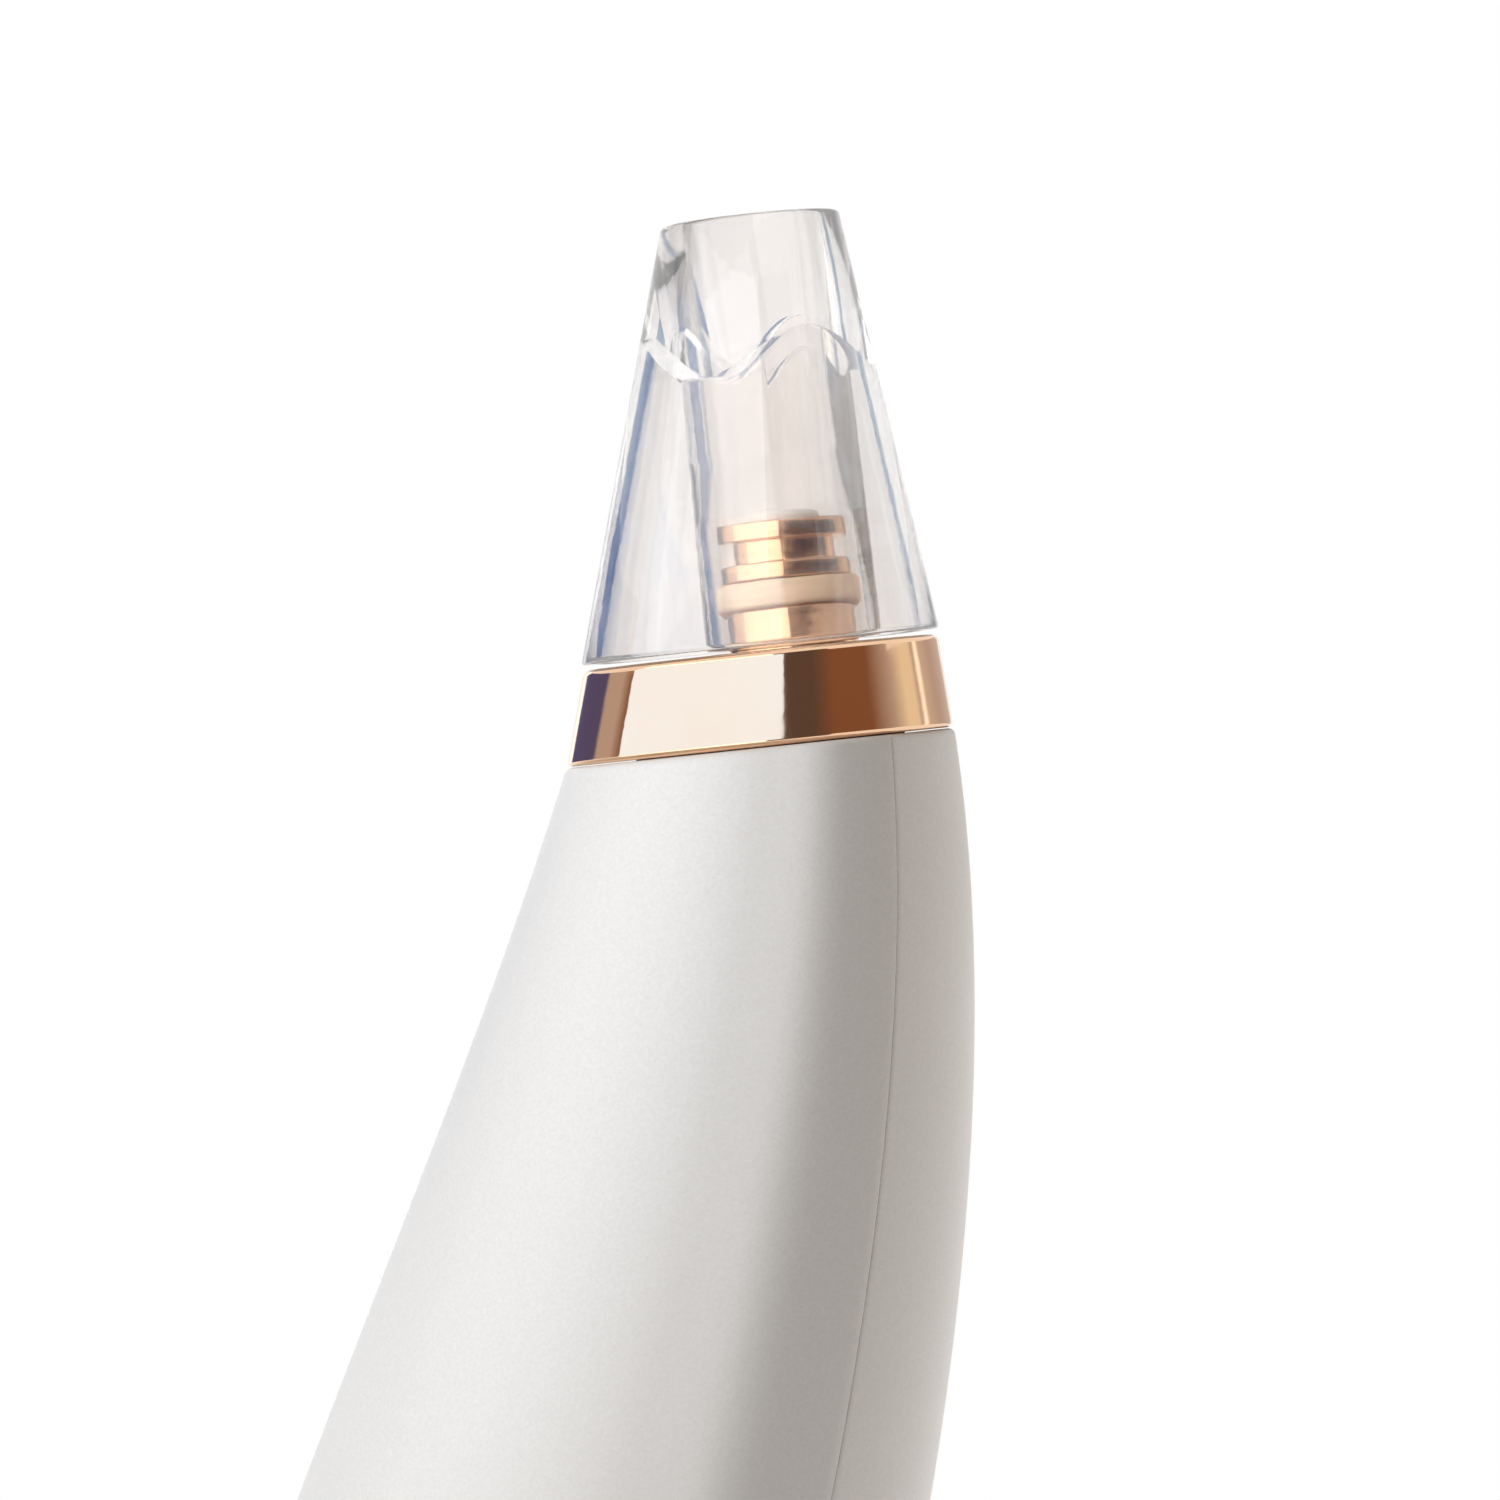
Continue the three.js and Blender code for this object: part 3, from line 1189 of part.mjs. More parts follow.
// The valve sheet's two flaps are cut free on three sides.
function valveSheet() {
  const outer = FLAP_HALF + FLAP_SLIT;
  const slits = [inletZ, outletZ].flatMap((z) => {
    const away = z > headMiddle ? [z + FLAP_HALF, z + outer] : [z - outer, z - FLAP_HALF];
    return [
      box(0, FAR, -outer, -FLAP_HALF, z - FLAP_HALF, z + FLAP_HALF),
      box(0, FAR, FLAP_HALF, outer, z - FLAP_HALF, z + FLAP_HALF),
      evenBox(0, FAR, outer, ...away),
    ];
  });
  return cut(headBlock(sheetBack, sheetBack + VALVE_SHEET), ...slits, ...pumpHoles());
}

function pumpCover() {
  const barb = cut(
    rodZ(barbRoot, housingTop - PAST, housingTop + BARB_LENGTH, inletX, 0, MEDIUM),
    evenBox(0, coverBack, FAR, 0, housingTop),
  );
  const chamberEnd = coverBack + CHAMBER_DEPTH;
  return cut(
    join(headBlock(coverBack, coverFront), barb),
    rodX(CHAMBER_RADIUS, 0, chamberEnd, 0, inletZ),
    rodX(CHAMBER_RADIUS, 0, chamberEnd, 0, outletZ),
    rodZ(PORT_BORE, inletZ, FAR, inletX),
    rodX(PORT_BORE, coverBack, FAR, 0, outletZ),
    ...pumpHoles(),
  );
}

// Leads from motor and battery to the back of the board
const leadEnd = boardBack - FIT_GAP;
const lead = (points) => swept(LEAD_RADIUS, 0, points, LEAD_STEPS, LEAD_SIDES);

function motorLead(side) {
  const y = side * MOTOR_LEAD_Y;
  const z = chassisTop + LEAD_SPACE / 2;
  const terminal = point(PUMP_X, y, endCapBottom - FIT_GAP - LEAD_RADIUS);
  return lead([terminal, point(PUMP_X / 2, y, z), point(plateFront, y, z), point(leadEnd, y, z)]);
}

function batteryLead(side) {
  const y = side * BATTERY_LEAD_Y;
  const z = (batteryTop + shelfBottom) / 2;
  const low = z - LEAD_RADIUS;
  return lead([point(batteryX, y, z), point(plateBack - WALL, y, z), point(leadEnd, y, low)]);
}

// Screws: each stands in its own group, its seat at the origin and its shank along -Z
function screw(length, radius, headRadius, head) {
  return turned(
    [
      [0, -length],
      [radius, radius - length],
      [radius, 0],
      [headRadius, 0],
      [headRadius - head / 4, head],
      [0, head],
    ],
    SMALL,
  );
}
const bigScrew = (length) => screw(length, SCREW_RADIUS, SCREW_HEAD_RADIUS, SCREW_HEAD);
const smallScrew = (length) => screw(length, SMALL_SCREW_RADIUS, SMALL_HEAD_RADIUS, SMALL_HEAD);

function addScrew(name, geometry, seat, turn, parent = poreVacuum) {
  const group = new THREE.Group();
  group.position.copy(seat);
  group.rotation.copy(turn);
  parent.add(group);
  add(name, geometry, steel, group);
}

// Assembly
add("rear_shell", rearShell(), whitePlastic);
add("front_cover", frontCover(), whitePlastic);
add("base_cap", baseCap(), whitePlastic);
add("foot_pad", footPad(), greyRubber);
add("collar_ring", collarRing(), roseGold, nose);
add("neck_plate", neckPlate(), greyPlastic, nose);
add("nozzle", nozzle(), roseGold, suction);
add("nozzle_seal", nozzleSeal(), peachSilicone, suction);
add("filter_sponge", filterSponge(), whiteFoam, suction);
add("suction_probe", suctionProbe(), clearPlastic, suction);
add("power_button", powerButton(), whitePlastic);
add("button_bezel", buttonBezel(), roseGold);
add("indicator_lens", indicatorLens(), frostedPlastic);
add("chassis", chassis(), greyPlastic);
add("main_board", mainBoard(), boardGreen);
add("tact_switch", tactSwitch(), blackPlastic);
add("switch_plunger", switchPlunger(), blackPlastic);
for (let k = 0; k < LED_COUNT; k++) add(`indicator_led_${k + 1}`, led(k), ledWhite);
add("charge_port", chargePort(), steel);
add("battery_cell", batteryCell(), cellBlue);
add("battery_pad", batteryPad(), whiteFoam);
add("motor_can", onMotorAxis(motorCan()), steel);
add("motor_end_cap", onMotorAxis(motorEndCap()), blackPlastic);
add("motor_damper", onMotorAxis(motorDamper()), blackRubber);
add("motor_rotor", onMotorAxis(motorRotor()), steel);
add("crank_cam", onMotorAxis(crankCam()), steel);
add("connecting_rod", connectingRod(), greyPlastic);
add("pump_housing", pumpHousing(), greyPlastic);
add("pump_diaphragm", pumpDiaphragm(), blackRubber);
add("valve_seat", valveSeat(), greyPlastic);
add("valve_sheet", valveSheet(), blackRubber);
add("pump_cover", pumpCover(), greyPlastic);
add("suction_hose", suctionHose(), clearSilicone);
[-1, 1].forEach((side, k) => {
  add(`motor_lead_${k + 1}`, motorLead(side), k ? redLead : darkLead);
  add(`battery_lead_${k + 1}`, batteryLead(side), k ? redLead : darkLead);
});

const headUp = new THREE.Euler();
const headDown = new THREE.Euler(Math.PI, 0, 0);
const headFront = new THREE.Euler(0, Math.PI / 2, 0);
bossHeights.flatMap((z) => [-bossY, bossY].map((y) => [y, z])).forEach(([y, z], k) => {
  const seat = point(plateFront + SLIP_GAP, y, z);
  addScrew(`chassis_screw_${k + 1}`, bigScrew(CHASSIS_SCREW_LENGTH), seat, headFront);
});
[-STANDOFF_Y, STANDOFF_Y].forEach((y, k) => {
  const seat = point(onBoard, y, STANDOFF_HEIGHTS[1]);
  const length = onBoard - plateFront - BOARD_SCREW_SHORT;
  addScrew(`board_screw_${k + 1}`, bigScrew(length), seat, headFront);
});
[-BASE_SCREW_X, BASE_SCREW_X].forEach((x, k) => {
  const seat = point(x, 0, capRecess + SCREW_HEAD);
  addScrew(`base_screw_${k + 1}`, bigScrew(BASE_SCREW_LENGTH), seat, headDown);
});
[-nozzleScrewY, nozzleScrewY].forEach((y, k) => {
  const seat = point(0, y, nozzleFootTop - SMALL_HEAD);
  addScrew(`nozzle_screw_${k + 1}`, smallScrew(NOZZLE_SCREW_LENGTH), seat, headUp, suction);
});
pumpScrews.forEach(([y, z], k) => {
  const seat = point(coverFront + SLIP_GAP, y, z);
  const length = coverFront + SLIP_GAP - housingFront + PUMP_SCREW_BITE;
  addScrew(`pump_screw_${k + 1}`, smallScrew(length), seat, headFront);
});

export default poreVacuum;
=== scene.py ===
# %% [markdown]
# # A pore vacuum, dressed for its picture
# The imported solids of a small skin-care vacuum are the fixed frame of this lesson. Each step takes one piece
# of the real object, says how it could be made in Blender and why it is made this way here. Lengths are
# written in millimetres, as on a drawing, and become Blender's metres when a mesh is made.

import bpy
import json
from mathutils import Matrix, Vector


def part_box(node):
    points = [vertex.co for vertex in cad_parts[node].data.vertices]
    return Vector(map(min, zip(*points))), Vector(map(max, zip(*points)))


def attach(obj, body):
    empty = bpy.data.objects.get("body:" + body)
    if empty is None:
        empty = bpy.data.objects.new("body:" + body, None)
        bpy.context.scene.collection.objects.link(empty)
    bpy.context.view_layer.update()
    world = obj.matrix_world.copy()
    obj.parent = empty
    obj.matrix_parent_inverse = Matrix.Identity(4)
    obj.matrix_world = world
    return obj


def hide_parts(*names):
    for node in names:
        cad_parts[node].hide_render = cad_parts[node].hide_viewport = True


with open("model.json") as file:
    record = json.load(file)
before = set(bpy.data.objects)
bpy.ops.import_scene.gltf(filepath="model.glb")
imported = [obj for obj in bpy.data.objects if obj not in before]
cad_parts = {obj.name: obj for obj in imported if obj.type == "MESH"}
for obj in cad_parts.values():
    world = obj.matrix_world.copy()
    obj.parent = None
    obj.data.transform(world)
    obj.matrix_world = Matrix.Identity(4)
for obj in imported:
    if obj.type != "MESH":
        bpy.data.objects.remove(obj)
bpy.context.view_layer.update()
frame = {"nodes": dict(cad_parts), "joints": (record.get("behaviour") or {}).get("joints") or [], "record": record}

# %% Modules and units
import json
import math

import bmesh
import bpy
import numpy as np
from mathutils import Matrix, Vector
from mathutils.bvhtree import BVHTree

MM = 0.001
scene = bpy.context.scene
nodes = frame["nodes"]
joints = {joint["name"]: joint for joint in frame["joints"]}
mounts = {mount["name"]: mount for mount in frame["record"]["mounts"]}


# %% A helper that adds an object to the scene
def add_object(name, data):
    made = bpy.data.objects.new(name, data)
    scene.collection.objects.link(made)
    return made


# %% [markdown]
# ## The camera
# The photograph looks at the tool's flank from the height of its collar, with the tool leaning to the right.
# The tool could be leaned, but its foot stands on the floor of the shared frame. So the camera is rolled
# instead, which gives the same picture.

# %% Place the camera
PHOTO_PIXELS = 1500
PIXEL = 0.07  # millimetres of the object in one pixel
ROLL = math.radians(17)
CAMERA_DISTANCE = 540
SENSOR = 36
AIM = Vector((-6.95, 0, 130.95)) * MM  # the point in the picture's middle

picture_right = Vector((math.cos(ROLL), 0, math.sin(ROLL)))
picture_up = Vector((-math.sin(ROLL), 0, math.cos(ROLL)))
towards_camera = Vector((0, -1, 0))

camera_data = bpy.data.cameras.new("photo_camera")
camera_data.sensor_width = SENSOR
camera_data.lens = SENSOR * CAMERA_DISTANCE / (PHOTO_PIXELS * PIXEL)
camera_data.clip_start = 0.01
camera = add_object("photo_camera", camera_data)
camera_axes = Matrix((picture_right, picture_up, towards_camera)).transposed().to_4x4()
camera.matrix_world = Matrix.Translation(AIM + towards_camera * CAMERA_DISTANCE * MM) @ camera_axes
scene.camera = camera
print("lens of", round(camera_data.lens, 1), "mm")

# %% [markdown]
# ## The studio
# The body is bright on the left, darkest just left of its seam and pale again at its right edge. The collar
# is a curved mirror that shows why: a wide soft box on the left that reaches past the camera, a dark gap
# on its right, and a paler light at the far right. Lamps and cards share that work here. The lamps light the
# matt body and aren't mirrored. The cards light nothing: they are only mirrored in plating or seen through
# clear plastic. So the body's shading and the collar's stripes can be matched one at a time.


# %% Directions round the object
def around(azimuth, elevation, distance):
    """A place round the aim: azimuth 0 is the camera's side, and positive goes to the picture's right."""
    side, rise = math.radians(azimuth), math.radians(elevation)
    level = picture_right * math.sin(side) + towards_camera * math.cos(side)
    return AIM + (level * math.cos(rise) + picture_up * math.sin(rise)) * distance


print("a metre towards the camera is", np.round(around(0, 0, 1), 2))

# %% Soft boxes
LAMP_DISTANCE = 0.6
LAMP_SIZE = (0.32, 0.344)


def soft_box(name, azimuth, elevation, radiance):
    """A lamp that faces the aim and lights matt surfaces. Radiance is its red, green and blue brightness."""
    lamp = bpy.data.lights.new(name, "AREA")
    lamp.shape = "RECTANGLE"
    lamp.size, lamp.size_y = LAMP_SIZE
    lamp.energy = max(radiance) * math.pi * lamp.size * lamp.size_y
    lamp.color = [c / max(radiance) for c in radiance]
    made = add_object(name, lamp)
    place = around(azimuth, elevation, LAMP_DISTANCE)
    back = (place - AIM).normalized()
    right = picture_up.cross(back).normalized()
    axes = Matrix((right, back.cross(right), back)).transposed().to_4x4()
    made.matrix_world = Matrix.Translation(place) @ axes
    made.visible_camera = False
    made.visible_glossy = False
    made.visible_transmission = False
    print(name, "gives", round(lamp.energy, 2), "W")


soft_box("left_low_box", -50, -12, (6.5, 6.65, 6.9))
soft_box("left_high_box", -60, 24, (3, 3, 3))
soft_box("front_box", -35, 20, (2.3, 2.3, 2.3))
soft_box("top_box", 5, 40, (2.2, 1.85, 1.5))
soft_box("right_box", 114, -12, (8.4, 7.9, 7.5))
soft_box("back_left_box", -155, 24, (4, 4, 4))


# %% A helper that adds a node and fills its sockets
def add_node(tree, kind, sockets=None, **settings):
    """Sockets maps an input to a value, or to another node's output that is linked to it."""
    made = tree.nodes.new(kind)
    for name, value in settings.items():
        setattr(made, name, value)
    for name, value in (sockets or {}).items():
        if isinstance(value, bpy.types.NodeSocket):
            tree.links.new(value, made.inputs[name])
        else:
            made.inputs[name].default_value = value
    return made


# %% A white room that only the camera, metal and glass see in full
FILL = 0.01  # how much of the room's white lights matt surfaces

world = bpy.data.worlds.new("white_room")
scene.world = world
world.use_nodes = True
room = world.node_tree
room.nodes.clear()
ray = add_node(room, "ShaderNodeLightPath").outputs
either = {0: ray["Is Camera Ray"], 1: ray["Is Glossy Ray"]}
seen = add_node(room, "ShaderNodeMath", either, operation="MAXIMUM")
any_of = {0: seen.outputs[0], 1: ray["Is Transmission Ray"]}
shown = add_node(room, "ShaderNodeMath", any_of, operation="MAXIMUM")
dim = add_node(room, "ShaderNodeBackground", {"Color": (1, 1, 1, 1), "Strength": FILL})
white = add_node(room, "ShaderNodeBackground", {"Color": (1, 1, 1, 1)})
pick = add_node(room, "ShaderNodeMixShader", {0: shown.outputs[0], 1: dim.outputs[0], 2: white.outputs[0]})
add_node(room, "ShaderNodeOutputWorld", {"Surface": pick.outputs[0]})
scene.view_settings.view_transform = "Standard"
print("room fill", FILL)


# %% Plain surfaces for what stands round the object
def new_material(name):
    """A new finish, with its node tree and its shader."""
    material = bpy.data.materials.new(name)
    material.use_nodes = True
    return material, material.node_tree, material.node_tree.nodes["Principled BSDF"]


def stage_material(name, color):
    """A matt, plain finish for what stands round the object."""
    material, tree, shader = new_material(name)
    shader.inputs["Base Color"].default_value = (*color, 1)
    shader.inputs["Roughness"].default_value = 0.9
    shader.inputs["Specular IOR Level"].default_value = 0
    return material, tree, shader


# %% A card that plating mirrors or clear plastic shows
def card(name, stops, elevations, distance, mirrored_in_metal=True, seen_through_glass=True, steps=360):
    """A curved, glowing card that the camera can't see. Each stop gives its colour at an azimuth."""
    azimuths = np.linspace(stops[0][0], stops[-1][0], steps + 1)
    points = [around(a, e, distance) for a in azimuths for e in elevations]
    mesh = bpy.data.meshes.new(name)
    mesh.from_pydata(points, [], [(2 * k, 2 * k + 1, 2 * k + 3, 2 * k + 2) for k in range(steps)])
    glow = mesh.color_attributes.new("glow", "FLOAT_COLOR", "POINT")
    for k, azimuth in enumerate(azimuths):
        color = [np.interp(azimuth, [s[0] for s in stops], [s[1][c] for s in stops]) for c in range(3)]
        glow.data[2 * k].color = glow.data[2 * k + 1].color = (*color, 1)
    material, tree, shader = stage_material(name, (0, 0, 0))
    painted = add_node(tree, "ShaderNodeVertexColor", layer_name="glow")
    tree.links.new(painted.outputs["Color"], shader.inputs["Emission Color"])
    shader.inputs["Emission Strength"].default_value = 1
    mesh.materials.append(material)
    made = add_object(name, mesh)
    made.visible_camera = False
    made.visible_diffuse = False
    made.visible_glossy = mirrored_in_metal
    made.visible_transmission = seen_through_glass
    made.visible_shadow = False
    print(name, "spans", stops[0][0], "to", stops[-1][0])


# %% The collar's cards
WHITE = (1.5, 1.5, 1.5)
COOL_WHITE = (1.05, 1.45, 2.0)
BROWN = (0.11, 0.08, 0.07)
RUST = (0.23, 0.11, 0.06)
TAN = (0.5, 0.46, 0.45)
GOLD = (0.85, 0.83, 0.68)
GREY = (0.62, 0.58, 0.56)
PURPLE = (0.1, 0.1, 0.26)
NEAR = 0.12
COLLAR_BAND = (-8, 25)  # elevations from a card's lower edge to its upper one
END_BAND = (-6, 17)
IN_METAL = {"seen_through_glass": False}

panel = [(-88, COOL_WHITE), (12.5, COOL_WHITE), (13, BROWN), (30, BROWN), (43, RUST)]
right_end = [(43, RUST), (66, RUST), (84, TAN)]
far_end = [(84, TAN), (95, GOLD), (104, GOLD), (108, TAN)]
far_end += [(112, WHITE), (116, GREY), (130, TAN), (155, GREY)]
left_end = [(-158, WHITE), (-150, WHITE), (-148, PURPLE), (-114, PURPLE)]
left_end += [(-111, TAN), (-97, TAN), (-88, RUST)]
card("collar_panel", panel, COLLAR_BAND, NEAR, **IN_METAL)
card("collar_right", right_end, COLLAR_BAND, NEAR, **IN_METAL)
card("collar_far_right", far_end, END_BAND, NEAR, **IN_METAL)
card("collar_left", left_end, END_BAND, NEAR, **IN_METAL)

# %% The probe's and the nozzle's cards
BRIGHT = (2.4, 2.4, 2.4)
PLUM = (0.04, 0.02, 0.05)
BLUE = (0.0, 0.1, 0.32)
PALE_BLUE = (0.3, 0.4, 0.52)
FAR = 0.4
PROBE_BAND = (-20, 34)
NOZZLE_BAND = (-16, 26)
TALL_BAND = (-40, 40)
IN_GLASS = {"mirrored_in_metal": False}

round_nozzle = [(-88, BRIGHT), (-6, BRIGHT), (-4, PLUM), (96, PLUM), (104, GOLD), (120, WHITE)]
card("probe_panel", [(-88, BRIGHT), (5, BRIGHT)], PROBE_BAND, FAR, **IN_METAL)
card("probe_gap", [(5, BROWN), (43, BROWN)], PROBE_BAND, FAR, **IN_METAL)
card("nozzle_card", round_nozzle, NOZZLE_BAND, NEAR, **IN_GLASS)
card("blue_card", [(-150, BLUE), (-122, BLUE)], TALL_BAND, FAR, **IN_GLASS)
card("pale_card", [(132, PALE_BLUE), (141, PALE_BLUE)], TALL_BAND, FAR, **IN_GLASS)

# %% [markdown]
# ## The floor
# The tool stands on a pale floor that the photograph's view doesn't reach. A small round sheet keeps the
# tool's shadow in other views, and fades out to the white room before its edge.

# %% Make the floor
FLOOR_RADIUS = 0.36
FLOOR_SIDES = 64
FADE_START = FLOOR_RADIUS / 3
FADE_END = FLOOR_RADIUS * 0.97

floor_material, floor_tree, floor_shader = stage_material("pale_floor", (0.86, 0.86, 0.85))
floor_place = add_node(floor_tree, "ShaderNodeTexCoord").outputs["Object"]
floor_reach = add_node(floor_tree, "ShaderNodeVectorMath", {0: floor_place}, operation="LENGTH")
fade = {"From Min": FADE_START, "From Max": FADE_END, "To Min": 1.0, "To Max": 0.0}
fade["Value"] = floor_reach.outputs["Value"]
floor_fade = add_node(floor_tree, "ShaderNodeMapRange", fade, interpolation_type="SMOOTHSTEP")
floor_tree.links.new(floor_fade.outputs["Result"], floor_shader.inputs["Alpha"])
rim = [2 * math.pi * k / FLOOR_SIDES for k in range(FLOOR_SIDES)]
floor_mesh = bpy.data.meshes.new("floor")
floor_mesh.from_pydata(
    [(FLOOR_RADIUS * math.cos(a), FLOOR_RADIUS * math.sin(a), 0) for a in rim],
    [],
    [tuple(range(FLOOR_SIDES))],
)
floor_mesh.materials.append(floor_material)
floor = add_object("floor", floor_mesh)
print("floor radius", FLOOR_RADIUS)

# %% [markdown]
# ## Shared effects for the finishes
# Moulded plastic, rubber, foam and plating all show the same few things close up: a fine grain, patches that
# are a little more worn, and colour that isn't quite even. Each effect is one shader group with named
# inputs, placed in every finish with its own sizes, so all finishes can be tuned in the same way.


# %% Helpers for shader groups
def new_group(name, inputs, outputs):
    """An empty shader group with its two ends; inputs and outputs map names to socket kinds."""
    group = bpy.data.node_groups.new(name, "ShaderNodeTree")
    for label, kind in inputs.items():
        group.interface.new_socket(label, in_out="INPUT", socket_type="NodeSocket" + kind)
    for label, kind in outputs.items():
        group.interface.new_socket(label, in_out="OUTPUT", socket_type="NodeSocket" + kind)
    return group, group.nodes.new("NodeGroupInput").outputs, group.nodes.new("NodeGroupOutput").inputs


def noise(tree, vector, size, **shape):
    """A soft random pattern of 0 to 1 whose patches are about as wide as size."""
    per_metre = add_node(tree, "ShaderNodeMath", {0: 1.0, 1: size}, operation="DIVIDE")
    sockets = {"Vector": vector, "Scale": per_metre.outputs[0], **shape}
    return add_node(tree, "ShaderNodeTexNoise", sockets).outputs["Fac"]


# %% Grain: a fine height, as spark-eroded moulds leave on plastic
grain_group, given, result = new_group(
    "Moulded grain", {"Vector": "Vector", "Size": "Float"}, {"Height": "Float"}
)
fine = noise(grain_group, given["Vector"], given["Size"], Detail=3.0, Roughness=0.62)
grain_group.links.new(fine, result["Height"])
print("made", grain_group.name)

# %% Wear: soft patches, crossed by long faint strokes from handling
STROKE = (9.0, 9.0, 0.8)  # narrow across and long upwards

wear_group, given, result = new_group(
    "Handling wear", {"Vector": "Vector", "Size": "Float"}, {"Mask": "Float"}
)
patches = noise(wear_group, given["Vector"], given["Size"], Detail=4.0, Distortion=0.4)
drawn_out = add_node(wear_group, "ShaderNodeMapping", {"Vector": given["Vector"], "Scale": STROKE})
strokes = noise(wear_group, drawn_out.outputs[0], given["Size"], Detail=2.0)
both = add_node(wear_group, "ShaderNodeMath", {0: patches, 1: strokes}, operation="MULTIPLY")
spread = add_node(
    wear_group, "ShaderNodeMapRange", {"Value": both.outputs[0], "From Min": 0.12, "From Max": 0.42}
)
wear_group.links.new(spread.outputs["Result"], result["Mask"])
print("made", wear_group.name)

# %% Colour: drifts softly between two shades
mottle_group, given, result = new_group(
    "Uneven colour",
    {"Vector": "Vector", "Size": "Float", "Color": "Color", "Shade": "Color"},
    {"Color": "Color"},
)
drift = noise(mottle_group, given["Vector"], given["Size"], Detail=5.0, Roughness=0.55)
wide = add_node(mottle_group, "ShaderNodeMapRange", {"Value": drift, "From Min": 0.3, "From Max": 0.7})
mixed = add_node(
    mottle_group,
    "ShaderNodeMix",
    {"Factor": wide.outputs["Result"], "A": given["Color"], "B": given["Shade"]},
    data_type="RGBA",
)
mottle_group.links.new(mixed.outputs["Result"], result["Color"])
print("made", mottle_group.name)

# %% [markdown]
# ## The finishes
# Every finish starts from the same recipe: uneven colour, worn gloss and a grain in the bump. What sets them
# apart is the colour, the size and depth of the grain, and a few plain values of the shader, such as metal,
# clear or soft. Colours are written as they look on screen and turned into light values.


# %% The recipe
def light(*screen):
    """A screen colour of 0 to 255 as the linear light that a shader reads."""
    return tuple((c / 255 / 12.92) if c < 11 else ((c / 255 + 0.055) / 1.055) ** 2.4 for c in screen)


finishes = {}


def finish(slot, color, shade, gloss, grain, depth, patch=14.0, **plain):
    """A finish for one material slot. Gloss is the roughness where it is least and most worn.

    The shader's plain values come last, by name, with _ for each space.
    """
    material, tree, shader = new_material(slot)
    vector = add_node(tree, "ShaderNodeTexCoord").outputs["Object"]
    colour = add_node(tree, "ShaderNodeGroup", node_tree=mottle_group)
    wear = add_node(tree, "ShaderNodeGroup", node_tree=wear_group)
    texture = add_node(tree, "ShaderNodeGroup", node_tree=grain_group)
    for effect, size in ((colour, patch), (wear, patch / 2), (texture, grain)):
        tree.links.new(vector, effect.inputs["Vector"])
        effect.inputs["Size"].default_value = size * MM
    colour.inputs["Color"].default_value = (*light(*color), 1)
    colour.inputs["Shade"].default_value = (*light(*shade), 1)
    worn = {"Value": wear.outputs["Mask"], "To Min": gloss[0], "To Max": gloss[1]}
    rough = add_node(tree, "ShaderNodeMapRange", worn)
    raised = {"Height": texture.outputs["Height"], "Distance": depth * MM, "Strength": 1.0}
    bump = add_node(tree, "ShaderNodeBump", raised)
    tree.links.new(colour.outputs["Color"], shader.inputs["Base Color"])
    tree.links.new(rough.outputs["Result"], shader.inputs["Roughness"])
    tree.links.new(bump.outputs["Normal"], shader.inputs["Normal"])
    for socket, value in plain.items():
        shader.inputs[socket.replace("_", " ")].default_value = value
    finishes[slot] = material
    return material


# %% Outer plastics, plating and rubber
finish(
    "white_plastic",
    (234, 234, 233),
    (227, 226, 225),
    (0.42, 0.5),
    grain=0.16,
    depth=0.008,
    patch=0.25,
    Specular_IOR_Level=0.3,
)
finish("rose_gold", (246, 205, 170), (240, 196, 160), (0.05, 0.12), grain=3.2, depth=0.012, Metallic=1.0)
finish(
    "clear_plastic",
    (252, 249, 247),
    (249, 246, 244),
    (0.0, 0.03),
    grain=4.5,
    depth=0.02,
    IOR=1.5,
    Alpha=0.91,
    Transmission_Weight=1.0,
)
finish(
    "peach_silicone",
    (252, 222, 196),
    (249, 212, 182),
    (0.36, 0.5),
    grain=0.5,
    depth=0.01,
    patch=4.0,
    Subsurface_Weight=0.5,
    Subsurface_Scale=0.002,
)
finish("white_foam", (242, 241, 237), (226, 225, 220), (0.85, 0.95), grain=0.45, depth=0.12, patch=2.0)
finish("grey_rubber", (92, 94, 97), (80, 82, 85), (0.62, 0.8), grain=0.3, depth=0.02)
finish("black_rubber", (46, 46, 48), (38, 38, 40), (0.62, 0.8), grain=0.3, depth=0.02)
finish(
    "frosted_plastic",
    (243, 243, 240),
    (236, 237, 236),
    (0.3, 0.42),
    grain=0.12,
    depth=0.006,
    patch=5.0,
    Subsurface_Weight=0.6,
    Subsurface_Scale=0.003,
)
print(len(finishes), "outer finishes")

# %% Let lamps shine through the clear plastic
clear_tree = finishes["clear_plastic"].node_tree
clear_path = add_node(clear_tree, "ShaderNodeLightPath")
unhindered = add_node(clear_tree, "ShaderNodeBsdfTransparent", {"Color": (0.97, 0.97, 0.97, 1)})
clear_shader = clear_tree.nodes["Principled BSDF"].outputs[0]
ways = {"Fac": clear_path.outputs["Is Shadow Ray"], 1: clear_shader, 2: unhindered.outputs[0]}
lamp_or_eye = add_node(clear_tree, "ShaderNodeMixShader", ways)
clear_tree.links.new(lamp_or_eye.outputs[0], clear_tree.nodes["Material Output"].inputs["Surface"])
print("clear plastic casts a light shadow")

